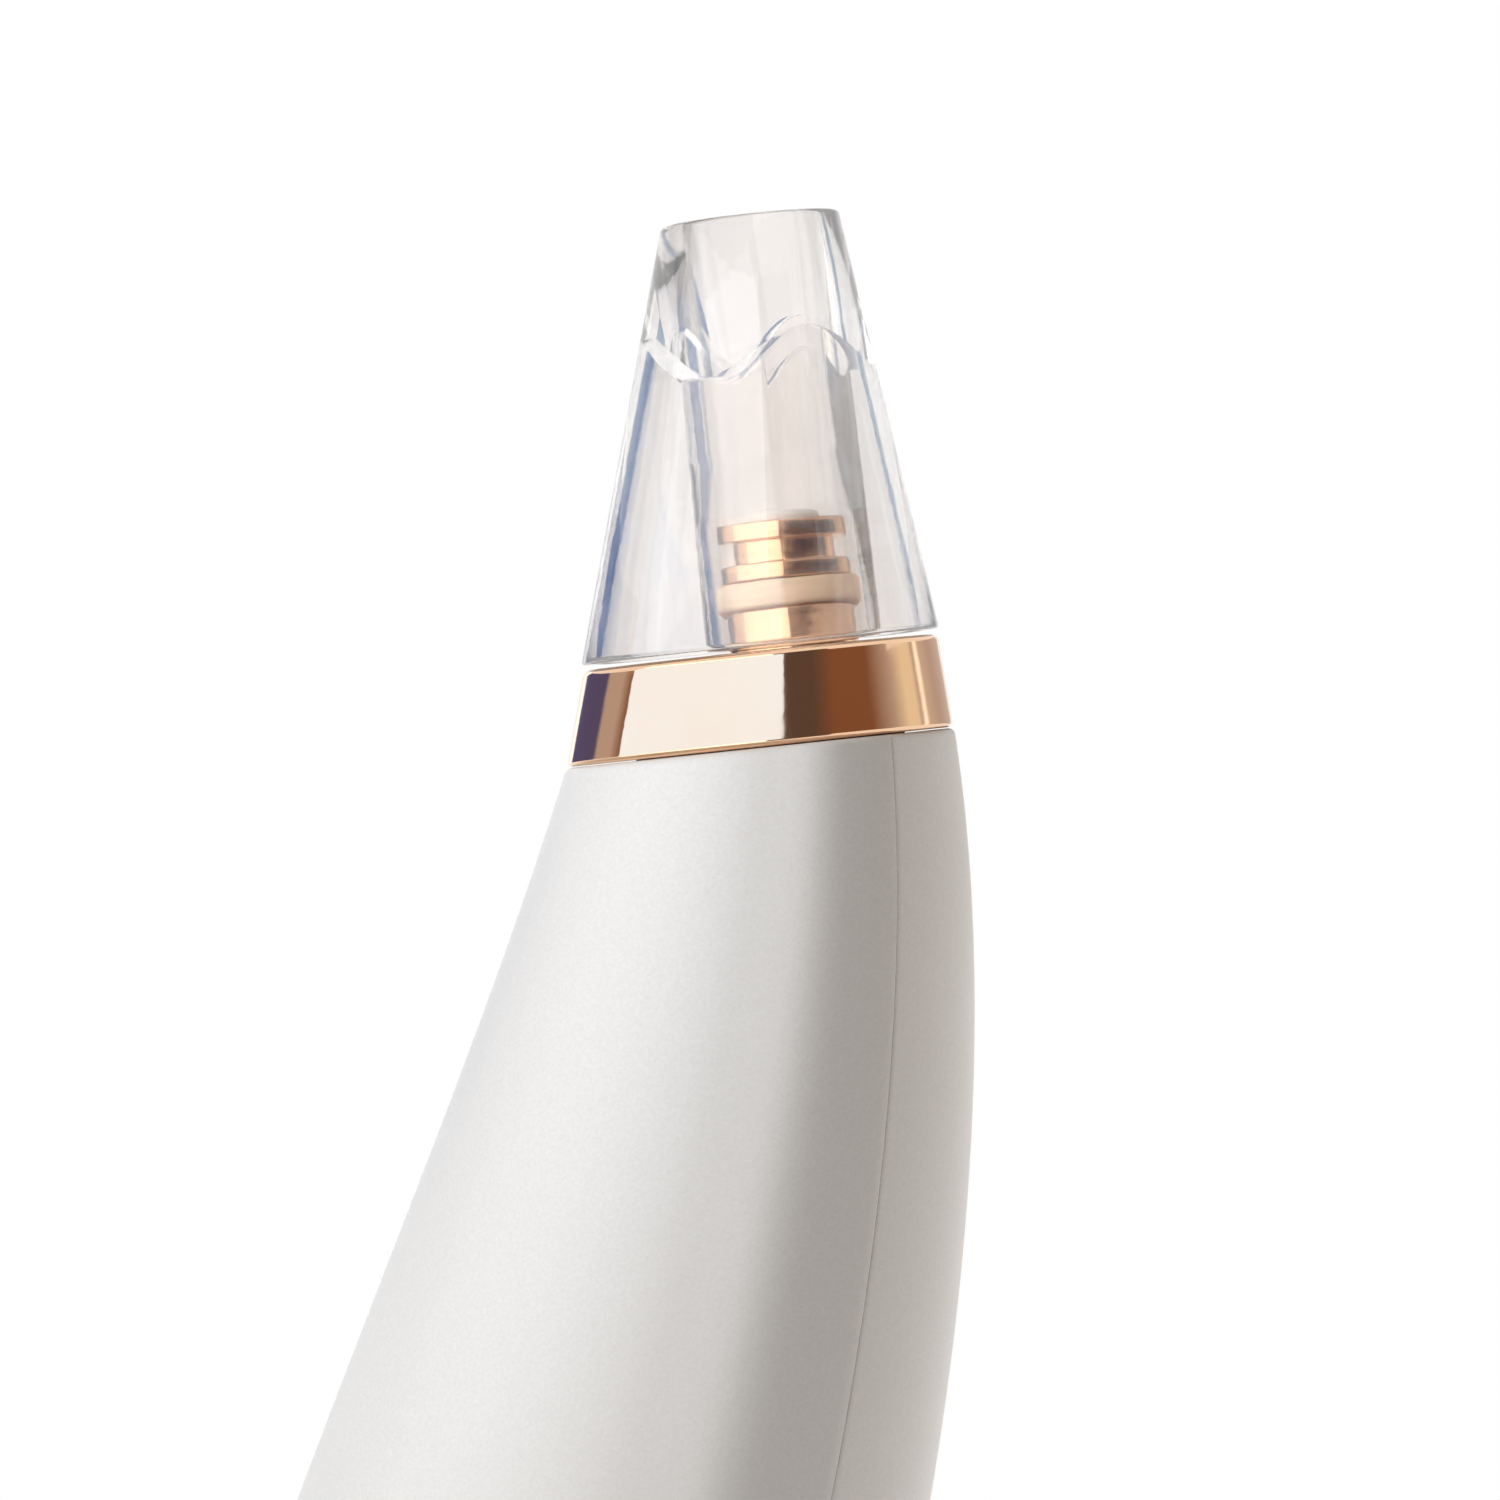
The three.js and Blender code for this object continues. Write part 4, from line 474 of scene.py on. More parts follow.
# %% Finishes of the pieces inside
finish("grey_plastic", (186, 188, 190), (178, 180, 183), (0.45, 0.6), grain=0.25, depth=0.01)
finish("black_plastic", (40, 42, 45), (32, 34, 37), (0.38, 0.5), grain=0.25, depth=0.01)
finish("steel", (196, 198, 200), (182, 184, 187), (0.18, 0.34), grain=0.4, depth=0.004, Metallic=1.0)
finish("board_green", (34, 96, 62), (24, 78, 50), (0.2, 0.35), grain=0.8, depth=0.01, patch=3.0)
finish("cell_blue", (58, 106, 170), (50, 96, 158), (0.22, 0.36), grain=2.0, depth=0.01)
finish("led_white", (246, 243, 222), (240, 232, 190), (0.12, 0.2), grain=0.4, depth=0.004, patch=0.8)
finish("clear_silicone", (222, 226, 224), (212, 217, 215), (0.25, 0.4), grain=0.5, depth=0.006)
finish("red_lead", (180, 34, 42), (160, 28, 36), (0.35, 0.5), grain=0.4, depth=0.006, patch=4.0)
finish("dark_lead", (40, 40, 44), (32, 32, 36), (0.35, 0.5), grain=0.4, depth=0.006, patch=4.0)
for part in frame["record"]["subparts"]:
    nodes[part["node"]].data.materials.clear()
    nodes[part["node"]].data.materials.append(finishes[part["material_slot"]])
print(len(finishes), "finishes in all")

# %% [markdown]
# ## Ways to make a mesh
# Nearly every piece here is a skin over rings: cross-sections of the body, or rings of a turned part. One
# function skins rings, some round a profile's corners, and one stands the finished mesh in for its solid.


# %% A skin over rings
def skin(name, rings, wrap):
    """A closed mesh over rings of equal length. The last ring joins the first, or both ends are capped."""
    count = len(rings[0])
    points = np.concatenate(rings) * MM
    faces = []
    for k in range(len(rings) if wrap else len(rings) - 1):
        here, there = k * count, (k + 1) % len(rings) * count
        for i in range(count):
            j = (i + 1) % count
            faces.append((here + i, here + j, there + j, there + i))
    if not wrap:
        last = (len(rings) - 1) * count
        faces.append(tuple(reversed(range(count))))
        faces.append(tuple(range(last, last + count)))
    mesh = bpy.data.meshes.new(name)
    mesh.from_pydata(points.tolist(), [], faces)
    face_outwards(mesh)
    return add_object(name, mesh)


def face_outwards(mesh):
    work = bmesh.new()
    work.from_mesh(mesh)
    bmesh.ops.recalc_face_normals(work, faces=work.faces)
    work.to_mesh(mesh)
    work.free()


# %% Directions and angles
def unit(vector):
    return vector / np.linalg.norm(vector)


def quarter(steps):
    """Even angles from 0 to a quarter turn."""
    return [math.pi / 2 * k / steps for k in range(steps + 1)]


def full_turn(count):
    """Even angles round a circle."""
    return np.arange(count) * 2 * math.pi / count


def rounded_edge(radius, steps):
    """How far an edge's points lie below its top and inside its side, from the side up to the top."""
    return [(radius * (1 - math.sin(a)), radius * (1 - math.cos(a))) for a in quarter(steps)]


# %% Rounded corners
ARM_SHARE = 0.45  # the most of a side that the rounding of one corner takes


def rounded(profile, radius, closed=True, steps=4):
    """A profile with a short curve at each corner that meets both sides smoothly."""
    corners = [np.array(p, float) for p in profile]
    line = []
    for i, corner in enumerate(corners):
        if not closed and i in (0, len(corners) - 1):
            line.append(corner)
            continue
        before = corners[i - 1] - corner
        after = corners[(i + 1) % len(corners)] - corner
        arm = min(radius, ARM_SHARE * np.linalg.norm(before), ARM_SHARE * np.linalg.norm(after))
        start, end = corner + arm * unit(before), corner + arm * unit(after)
        for t in np.linspace(0, 1, steps + 1):
            line.append((1 - t) ** 2 * start + 2 * t * (1 - t) * corner + t * t * end)
    return np.array(line)


def stepped(*steps):
    """A profile's corners, from the radius and the one or two heights of each step."""
    return [(radius, height) for radius, *heights in steps for height in heights]


def four_sided(inner, outer, start, end, radius, **kind):
    """A rounded profile with four corners."""
    return rounded(stepped((inner, start), (outer, start, end), (inner, end)), radius, **kind)


print("a square's corners become", len(four_sided(0, 1, 0, 1, ARM_SHARE)), "points")

# %% Stand-ins
SHARP = math.radians(38)


def stand_in(piece, node, body="housing"):
    """Finish a piece, let it ride on its body and show it in place of its solid."""
    slot = next(p["material_slot"] for p in frame["record"]["subparts"] if p["node"] == node)
    piece.data.materials.clear()
    piece.data.materials.append(finishes[slot])
    piece.data.shade_smooth()
    piece.data.set_sharp_from_angle(angle=SHARP)
    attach(piece, body)
    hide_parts(node)
    print(piece.name, "has", len(piece.data.polygons), "faces")


# %% Cuts
def apply_modifiers(piece):
    """Turn a piece's modifiers into a plain mesh."""
    finished = piece.evaluated_get(bpy.context.evaluated_depsgraph_get())
    piece.data = bpy.data.meshes.new_from_object(finished)
    piece.modifiers.clear()


def cut(piece, *tools):
    """Take tools out of a piece, and then out of the scene."""
    for tool in tools:
        modifier = piece.modifiers.new("cut", "BOOLEAN")
        modifier.operation = "DIFFERENCE"
        modifier.solver = "EXACT"
        modifier.object = tool
    apply_modifiers(piece)
    for tool in tools:
        bpy.data.objects.remove(tool)


# %% [markdown]
# ## The body's two shells
# The body is a bent, tapering form with a wide rear shell and a narrow front cover. It could be modelled by
# hand with subdivision, but its curves are known: two profiles and a flank, with one law for all the
# sections between them. Skinning many sections gives a smooth surface. The photograph shows a soft crease
# ahead of the seam, so the flanks turn in more here than in the solids.

# %% Sizes of the body
NOSE_TILT = math.radians(23)
NECK_HEIGHT = 131.3
NECK_SETBACK = 6.3
NECK_DEPTH = 27.3
NECK_WIDTH = 26
NECK_FRONT_LEAN = 26
NECK_SIDE_LEAN = 8
BELLY_HEIGHT = 51
BELLY_DEPTH = 45.2
BELLY_WIDTH = 39
BODY_BOTTOM = 6
BOTTOM_DEPTH = 39
BOTTOM_WIDTH = 33.5
BOTTOM_LEAN = 6
REAR_EASE = 24
FRONT_NECK_EASE = 25.5
FRONT_BELLY_EASE = 29.7
SIDE_EASE = 27
LOWER_EASE = 20
SEAM_SHARE = 0.66
CREASE_TURN = math.radians(24)  # how far a flank turns forward at its soft crease
CREASE_START = 0.16
CREASE_END = 0.48
FLANK_TURN = math.radians(16)  # and how far it turns evenly on its way to the seam
BACK_POWER = 1.95
FRONT_POINT = 0.8  # 0 is a plain parabola, more is a straighter run from the seam
WALL = 2
print("a body", BELLY_DEPTH, "mm deep and", BELLY_WIDTH, "mm wide")


# %% Curves with handles
def rail(start, start_handle, end, end_handle):
    """A curve from start to end that leaves and arrives along its handles."""
    a, d = np.array(start, float), np.array(end, float)
    b, c = a + start_handle, d + end_handle
    return lambda t: (1 - t) ** 3 * a + 3 * (1 - t) ** 2 * t * b + 3 * (1 - t) * t * t * c + t**3 * d


def lean(length, degrees, way):
    """A handle up (way 1) or down (way -1) that leans towards the front by an angle."""
    angle = math.radians(degrees)
    return np.array((length * math.sin(angle), way * length * math.cos(angle)))


# %% The profiles that the sections follow
nose_across = np.array((math.cos(NOSE_TILT), math.sin(NOSE_TILT)))
neck = np.array((-NECK_SETBACK, NECK_HEIGHT))
upper = {
    "back": rail(
        neck - nose_across * NECK_DEPTH / 2,
        lean(REAR_EASE, 0, -1),
        (-BELLY_DEPTH / 2, BELLY_HEIGHT),
        lean(REAR_EASE, 0, 1),
    ),
    "front": rail(
        neck + nose_across * NECK_DEPTH / 2,
        lean(FRONT_NECK_EASE, NECK_FRONT_LEAN, -1),
        (BELLY_DEPTH / 2, BELLY_HEIGHT),
        lean(FRONT_BELLY_EASE, 0, 1),
    ),
    "side": rail(
        (NECK_WIDTH / 2, NECK_HEIGHT),
        lean(SIDE_EASE, NECK_SIDE_LEAN, -1),
        (BELLY_WIDTH / 2, BELLY_HEIGHT),
        lean(SIDE_EASE, 0, 1),
    ),
}


def lower_rail(belly, bottom, way):
    return rail(
        (way * belly / 2, BELLY_HEIGHT),
        lean(LOWER_EASE, 0, -1),
        (way * bottom / 2, BODY_BOTTOM),
        lean(LOWER_EASE, way * BOTTOM_LEAN, 1),
    )


lower = {
    "back": lower_rail(BELLY_DEPTH, BOTTOM_DEPTH, -1),
    "front": lower_rail(BELLY_DEPTH, BOTTOM_DEPTH, 1),
    "side": lower_rail(BELLY_WIDTH, BOTTOM_WIDTH, 1),
}
print(len(upper) + len(lower), "profiles")


# %% One section: a round back, creased flanks up to the seams and a front arc
def back_line(a, b, steps=600):
    """From the seam on the far side (+Y) round the back to the near seam."""
    along = np.linspace(0, SEAM_SHARE, steps)
    crease = np.clip((along - CREASE_START) / (CREASE_END - CREASE_START), 0, 1)
    turned = CREASE_TURN * crease**2 * (3 - 2 * crease) + FLANK_TURN * (along / SEAM_SHARE) ** 2
    slope = a * np.tan(turned)
    fall = np.concatenate(((0,), np.cumsum((slope[1:] + slope[:-1]) / 2 * np.diff(along))))
    side = np.stack((a * along, b - fall), 1)[:0:-1]
    sweep = np.linspace(math.pi / 2, 0, steps)
    reach, rise = np.cos(sweep) ** (2 / BACK_POWER), np.sin(sweep) ** (2 / BACK_POWER)
    back = np.stack((-a * reach, b * rise), 1)
    half = np.concatenate((side, back))
    return np.concatenate((half, half[-2::-1] * (1, -1)))


def front_line(a, b, steps=400):
    """From the near seam (-Y) across the front to the far seam."""
    seam = back_line(a, b)[0]
    share = np.linspace(-1, 1, steps)
    fall = (np.sqrt(1 + (FRONT_POINT * share) ** 2) - 1) / (math.sqrt(1 + FRONT_POINT**2) - 1)
    return np.stack((a - (a - seam[0]) * fall, seam[1] * share), 1)


# %% Points along a section, and where it lies
def evenly(line, count, trim):
    """Points at even steps along a line, with both ends cut back by trim."""
    steps = np.concatenate(((0,), np.cumsum(np.linalg.norm(np.diff(line, axis=0), axis=1))))
    wanted = np.linspace(trim, steps[-1] - trim, count)
    return np.stack([np.interp(wanted, steps, line[:, k]) for k in (0, 1)], 1)


def inward(line):
    """The directions square to a line, towards the body's inside."""
    along = np.gradient(line, axis=0)
    along /= np.linalg.norm(along, axis=1)[:, None]
    return np.stack((-along[:, 1], along[:, 0]), 1)


def section(u, drawn_in=0.0):
    """The half depth and half width at u (0 neck, 1 belly, 2 bottom), and where its points lie."""
    rails, share = (upper, u) if u <= 1 else (lower, u - 1)
    back, front = rails["back"](share), rails["front"](share)
    across = unit(front - back)
    middle = (front + back) / 2

    def place(flat):
        return np.stack(
            (middle[0] + across[0] * flat[:, 0], flat[:, 1], middle[1] + across[1] * flat[:, 0]), 1
        )

    half = np.linalg.norm(front - back) / 2 - drawn_in
    return half, rails["side"](share)[0] - drawn_in, place


# %% Where the sections lie, with the ends rounded over
EDGE_ROUND = 0.45
EDGE_STEPS = 5
UPPER_STEPS = 60
LOWER_STEPS = 30
neck_run = 3 * REAR_EASE  # millimetres that one unit of u covers at the neck
bottom_run = 3 * LOWER_EASE

end_edge = rounded_edge(EDGE_ROUND, EDGE_STEPS)[:-1]
stations = [(run / neck_run, inset) for inset, run in end_edge]
first = EDGE_ROUND / neck_run
stations += [(u, 0.0) for u in np.linspace(first, 1, UPPER_STEPS)]
last = 2 - EDGE_ROUND / bottom_run
stations += [(u, 0.0) for u in np.linspace(1, last, LOWER_STEPS)[1:]]
stations += [(2 - run / bottom_run, inset) for inset, run in end_edge[::-1]]
print(len(stations), "sections")

# %% Corners at the seam
SEAM_ROUND = 0.11
SEAM_ROUND_POINTS = 4


def seam_corner(line, gap):
    """The rounded edge at a line's start, from the seam's face out to the surface."""
    along, square = unit(line[1] - line[0]), inward(line)[0]
    centre = line[0] + along * (gap + SEAM_ROUND) + square * SEAM_ROUND
    sweep = np.linspace(0, math.pi / 2, SEAM_ROUND_POINTS)[:, None]
    return centre - SEAM_ROUND * (along * np.cos(sweep) + square * np.sin(sweep))


def mirrored(points):
    """The same points on the other side, in turned order."""
    return points[::-1] * (1, -1)


# %% Rear shell: its outline and its inner wall make one ring for each section
OUTER_POINTS = 130


def rear_ring(u, drawn_in):
    a, b, place = section(u, drawn_in)
    line = back_line(a, b)
    corner = seam_corner(line, 0.0)
    outer = evenly(line, OUTER_POINTS, SEAM_ROUND)[1:-1]
    inner = evenly(line, OUTER_POINTS, 0.0)
    inner = inner + inward(inner) * WALL
    return place(np.concatenate((corner, outer, mirrored(corner), inner[::-1])))


rear_shell = skin("rear_shell_moulding", [rear_ring(*s) for s in stations], wrap=False)
print("rear shell skinned over", len(stations), "rings")

# %% [markdown]
# ## The vents
# A short row of round holes in the lower back lets the pump's air out. Holes that repeat in a row suit
# Geometry Nodes: a line of points with a rod on each, sized by named inputs. The rods become one plain mesh
# that cuts the shell.


# %% Helpers for node trees that make geometry
def geometry_tree(name, inputs):
    """A tree with named inputs, given as name: (socket kind, value), and a geometry output."""
    tree = bpy.data.node_groups.new(name, "GeometryNodeTree")
    for label, (kind, _) in inputs.items():
        tree.interface.new_socket(label, in_out="INPUT", socket_type="NodeSocket" + kind)
    tree.interface.new_socket("Geometry", in_out="OUTPUT", socket_type="NodeSocketGeometry")
    return tree, tree.nodes.new("NodeGroupInput").outputs, tree.nodes.new("NodeGroupOutput").inputs


def grow(name, tree, inputs):
    """Run a tree on an empty mesh with its inputs set, and keep the result as a plain mesh."""
    made = add_object(name, bpy.data.meshes.new(name))
    modifier = made.modifiers.new("grow", "NODES")
    modifier.node_group = tree
    identifiers = {s.name: s.identifier for s in tree.interface.items_tree if s.in_out == "INPUT"}
    for label, (_, value) in inputs.items():
        modifier[identifiers[label]] = value
    apply_modifiers(made)
    return made


def row_inputs(count, pitch, x, z, **shape):
    """Inputs for a row across the body: how many there are, where they start and how far apart they are."""
    return {
        "Count": ("Int", count),
        "Start": ("Vector", (x * MM, -(count - 1) / 2 * pitch * MM, z * MM)),
        "Step": ("Vector", (0.0, pitch * MM, 0.0)),
        **shape,
    }


def point_row(tree, given):
    """A row of points from the inputs Count, Start and Step."""
    places = {"Count": given["Count"], "Start Location": given["Start"], "Offset": given["Step"]}
    return add_node(tree, "GeometryNodeMeshLine", places).outputs["Mesh"]


def place_copies(tree, places, material, end):
    """Put a shape on points, make the copies plain geometry and give them their finish."""
    copies = add_node(tree, "GeometryNodeInstanceOnPoints", places)
    real = add_node(tree, "GeometryNodeRealizeInstances", {"Geometry": copies.outputs[0]})
    coated = add_node(tree, "GeometryNodeSetMaterial", {"Geometry": real.outputs[0]})
    coated.inputs["Material"].default_value = material
    tree.links.new(coated.outputs[0], end)


# %% Cut the vents
VENT_COUNT = 5
VENT_PITCH = 3.4
VENT_RADIUS = 0.7
VENT_HEIGHT = 17
VENT_SIDES = 32
VENT_CUT = 5 * WALL

vent_shape = {"Radius": ("Float", VENT_RADIUS * MM), "Length": ("Float", VENT_CUT * MM)}
vent_inputs = row_inputs(VENT_COUNT, VENT_PITCH, -BELLY_DEPTH / 2, VENT_HEIGHT, **vent_shape)
vent_tree, given, result = geometry_tree("Vent row", vent_inputs)
row = point_row(vent_tree, given)
rod_size = {"Vertices": VENT_SIDES, "Radius": given["Radius"], "Depth": given["Length"]}
rod = add_node(vent_tree, "GeometryNodeMeshCylinder", rod_size)
rods = {"Points": row, "Instance": rod.outputs["Mesh"], "Rotation": (0.0, math.pi / 2, 0.0)}
place_copies(vent_tree, rods, finishes["white_plastic"], result["Geometry"])
cut(rear_shell, grow("vent_rods", vent_tree, vent_inputs))
stand_in(rear_shell, "rear_shell")


# %% [markdown]
# ## The front cover
# The cover carries the button, the lamps' lens and the charging port. Its ring for each section runs along
# the outside, round a tongue that hides behind each seam, and back along the inside. The openings are cut
# afterwards, because a cut is simpler than rings that go round holes.

# %% Skin the front cover
SEAM_GAP = 0.05
TONGUE_GAP = 0.25
TONGUE_WALL = 1
TONGUE_REACH = 1.5
FRONT_POINTS = 70


def front_ring(u, drawn_in):
    a, b, place = section(u, drawn_in)
    line, rear = front_line(a, b), back_line(a, b)
    start = seam_corner(line, SEAM_GAP)
    outer = evenly(line, FRONT_POINTS, SEAM_GAP + SEAM_ROUND)[1:-1]
    inner = evenly(line, FRONT_POINTS, TONGUE_REACH)
    inner = inner + inward(inner) * WALL
    near, far = WALL + TONGUE_GAP, WALL + TONGUE_GAP + TONGUE_WALL
    front_in, rear_in = inward(line)[-1], inward(rear)[0]
    front_way, rear_way = unit(line[-2] - line[-1]), unit(rear[1] - rear[0])
    seam = line[-1]
    tongue = np.array(
        [
            seam + front_in * near + front_way * SEAM_GAP,
            seam + rear_in * near + rear_way * TONGUE_REACH,
            seam + rear_in * far + rear_way * TONGUE_REACH,
            seam + front_in * far + front_way * TONGUE_REACH,
        ]
    )
    return place(np.concatenate((start, outer, mirrored(start), tongue, inner[::-1], mirrored(tongue))))


front_cover = skin("front_cover_moulding", [front_ring(*s) for s in stations], wrap=False)
surface = BVHTree.FromObject(front_cover, bpy.context.evaluated_depsgraph_get())
print("front cover skinned")


# %% Pieces that lie in the cover's surface
def surface_x(y, z):
    """Where the cover's outside lies at a place on the front, in millimetres."""
    hit = surface.ray_cast(Vector((1, y * MM, z * MM)), Vector((-1, 0, 0)))
    return hit[0].x / MM


def inlay_rings(profile, height, half_length, sides, across=False, flat_from=None):
    """Rings of a piece set into the front: each (offset, depth) of the profile is one ring.

    The rings are slots with round ends, half_length from their middle to each end's centre, upright or
    across. Depth runs inwards from the cover's surface, or from a flat place at flat_from.
    """
    sweep = full_turn(sides)
    rings = []
    for offset, depth in profile:
        y, z = offset * np.sin(sweep), offset * np.cos(sweep)
        if across:
            y = y + half_length * np.sign(np.round(y, 6))
        else:
            z = z + half_length * np.sign(np.round(z, 6))
        z = z + height
        x = [flat_from if flat_from is not None else surface_x(*p) for p in zip(y, z)]
        rings.append(np.stack((np.array(x) - depth, y, z), 1))
    return rings


# %% Sizes of the openings
BUTTON_HEIGHT = 64
BUTTON_RADIUS = 6.4
BEZEL_WIDTH = 1.25
BEZEL_DEPTH = 0.75
LENS_HEIGHT = 42
LENS_LENGTH = 15
LENS_WIDTH = 3.4
PORT_HEIGHT = 16.5
PORT_WIDTH = 9
PORT_THICKNESS = 3.3
PORT_GAP = 0.3
SLIP_GAP = 0.2
BUTTON_SIDES = 96
SLOT_SIDES = 48

lens_half = (LENS_LENGTH - LENS_WIDTH) / 2
port_half = (PORT_WIDTH - PORT_THICKNESS) / 2
bore = BUTTON_RADIUS + SLIP_GAP
recess = bore + BEZEL_WIDTH + SLIP_GAP
lens_hole = LENS_WIDTH / 2 + SLIP_GAP
port_hole = PORT_THICKNESS / 2 + PORT_GAP
button_slot = (BUTTON_HEIGHT, 0, BUTTON_SIDES)
lens_slot = (LENS_HEIGHT, lens_half, SLOT_SIDES)
port_slot = (PORT_HEIGHT, port_half, SLOT_SIDES, True)
print("button, lens and port at", BUTTON_HEIGHT, LENS_HEIGHT, PORT_HEIGHT, "mm")

# %% Cut the cover's openings
OUTSIDE = -3
THROUGH = 3 * WALL


def slot_tool(name, offset, depth, slot):
    """A plug from outside the cover down to a depth, to cut an opening with."""
    return skin(name, inlay_rings([(offset, OUTSIDE), (offset, depth)], *slot), wrap=False)


cut(
    front_cover,
    slot_tool("recess_tool", recess, BEZEL_DEPTH + SLIP_GAP, button_slot),
    slot_tool("bore_tool", bore, THROUGH, button_slot),
    slot_tool("lens_tool", lens_hole, THROUGH, lens_slot),
    slot_tool("port_tool", port_hole, THROUGH, port_slot),
)
stand_in(front_cover, "front_cover")

# %% [markdown]
# ## Button, bezel and lens
# These follow the cover's curve, so they are made like turned parts whose depth is measured from the surface
# under each point. The button has a shallow dish for the fingertip, and the bezel is a thin plated ring.

# %% Make the button
BUTTON_PROUD = 0.5
BUTTON_DISH = 0.45
BUTTON_CAP = 2.3
BUTTON_FLANGE = 1.2
BUTTON_FLANGE_WIDTH = 1
BUTTON_STEM_RADIUS = 1.8
BUTTON_EDGE = 0.4
DISH_RADIUS = 5.4
DISH_STEPS = 14
CENTRE = 0.02  # the smallest ring, whose cap closes a piece on its axis

stem_end = surface_x(0, BUTTON_HEIGHT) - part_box("power_button")[0].x / MM
dish = [
    (r, -BUTTON_PROUD + BUTTON_DISH * (1 - (r / DISH_RADIUS) ** 2) ** 2)
    for r in np.linspace(CENTRE, DISH_RADIUS, DISH_STEPS)
]
rim_steps = stepped((DISH_RADIUS, -BUTTON_PROUD), (BUTTON_RADIUS, -BUTTON_PROUD, BUTTON_CAP))
rim_edge = rounded(rim_steps, BUTTON_EDGE, closed=False)
flange_radius = BUTTON_RADIUS + BUTTON_FLANGE_WIDTH
flange_end = BUTTON_CAP + BUTTON_FLANGE
hidden = stepped(
    (flange_radius, BUTTON_CAP, flange_end), (BUTTON_STEM_RADIUS, flange_end, stem_end), (CENTRE, stem_end)
)
button_profile = [*dish, *rim_edge[1:], *hidden]
button = skin("button_cap", inlay_rings(button_profile, *button_slot), wrap=False)
stand_in(button, "power_button", "button")

# %% Make the bezel
BEZEL_PROUD = 0.25
BEZEL_EDGE = 0.3
bezel_profile = four_sided(bore, bore + BEZEL_WIDTH, -BEZEL_PROUD, BEZEL_DEPTH, BEZEL_EDGE)
bezel = skin("bezel_plated", inlay_rings(bezel_profile, *button_slot), wrap=True)
stand_in(bezel, "button_bezel")

# %% Make the lens
LENS_PROUD = 0.1
LENS_DEPTH = 2.6
LENS_EDGE = 0.25
lens_profile = four_sided(CENTRE, LENS_WIDTH / 2, -LENS_PROUD, LENS_DEPTH, LENS_EDGE, closed=False)
lens = skin("lens_frosted", inlay_rings(lens_profile, *lens_slot), wrap=False)
stand_in(lens, "indicator_lens")

# %% [markdown]
# ## The charging port
# The receptacle is a folded steel tube with a contact blade in its middle. The tube is rings again, this
# time at flat places. The contacts are a row of tiny bars on both faces of the blade, so nodes lay them out.

# %% Make the port
PORT_WALL = 0.3
PORT_BACK = 2.9
PORT_EDGE = 0.12
PORT_EDGE_RUN = 1

port_low, port_high = (corner.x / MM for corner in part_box("charge_port"))
port_depth = port_high - port_low
port_inner = PORT_THICKNESS / 2 - PORT_WALL
port_outer = PORT_THICKNESS / 2
port_rim = stepped((port_outer, PORT_EDGE_RUN, 0), (port_inner, 0, PORT_EDGE_RUN))
port_profile = [
    (CENTRE, port_depth),
    (port_outer, port_depth),
    *rounded(port_rim, PORT_EDGE, closed=False),
    (port_inner, port_depth - PORT_BACK),
    (CENTRE, port_depth - PORT_BACK),
]
port = skin("port_steel", inlay_rings(port_profile, *port_slot, flat_from=port_high), wrap=False)
stand_in(port, "charge_port")

# %% Make the blade
PORT_BLADE = 0.7
PORT_BLADE_INSET = 1.2
PORT_SET_IN = 1.1
BLADE_EDGE = 0.15
BLADE_ROOT = 0.5

blade_half = PORT_WIDTH / 2 - PORT_BLADE_INSET
blade_front = port_high - PORT_SET_IN
blade_back = port_low + PORT_BACK
blade_low, blade_high = PORT_HEIGHT - PORT_BLADE / 2, PORT_HEIGHT + PORT_BLADE / 2
blade_outline = four_sided(-blade_half, blade_half, blade_low, blade_high, BLADE_EDGE)
blade_rings = [np.insert(blade_outline, 0, x, axis=1) for x in (blade_back - BLADE_ROOT, blade_front)]
blade = skin("port_blade", blade_rings, wrap=False)
blade.data.materials.append(finishes["black_plastic"])
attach(blade, "housing")
print("blade", round(blade_front - blade_back, 2), "mm long")

# %% Make the contacts
CONTACTS = 12
CONTACT_PITCH = 0.5
CONTACT_LENGTH = 3.2
CONTACT_WIDTH = 0.26
CONTACT_PROUD = 0.08
CONTACT_SET_BACK = 2

contact_x = blade_front - CONTACT_SET_BACK
bar_size = (CONTACT_LENGTH * MM, CONTACT_WIDTH * MM, (PORT_BLADE + CONTACT_PROUD) * MM)
contact_inputs = row_inputs(CONTACTS, CONTACT_PITCH, contact_x, PORT_HEIGHT, Bar=("Vector", bar_size))
contact_tree, given, result = geometry_tree("Contact row", contact_inputs)
row = point_row(contact_tree, given)
bar = add_node(contact_tree, "GeometryNodeMeshCube", {"Size": given["Bar"]})
bars = {"Points": row, "Instance": bar.outputs["Mesh"]}
place_copies(contact_tree, bars, finishes["rose_gold"], result["Geometry"])
contacts = grow("port_contacts", contact_tree, contact_inputs)
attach(contacts, "housing")
print(CONTACTS, "contacts")

# %% [markdown]
# ## The base
# The lower end is a cap that rounds in to a rubber pad. Both follow the body's lowest section, drawn in by
# different amounts at different heights. Small studs on the pad keep it from slipping. Nodes lay them out on
# a grid and keep them only where the pad is.

# %% Make the cap
FIT_GAP = 0.3
FOOT_PROUD = 1.2
FOOT_RECESS = 0.3
FOOT_MARGIN = 0.7
CAP_ROUND = 4.2
CAP_FLOOR = 2.1
CAP_RIM = 3
CAP_RIM_WALL = 1.4
CAP_EDGE_STEPS = 14
CAP_POINTS = 200

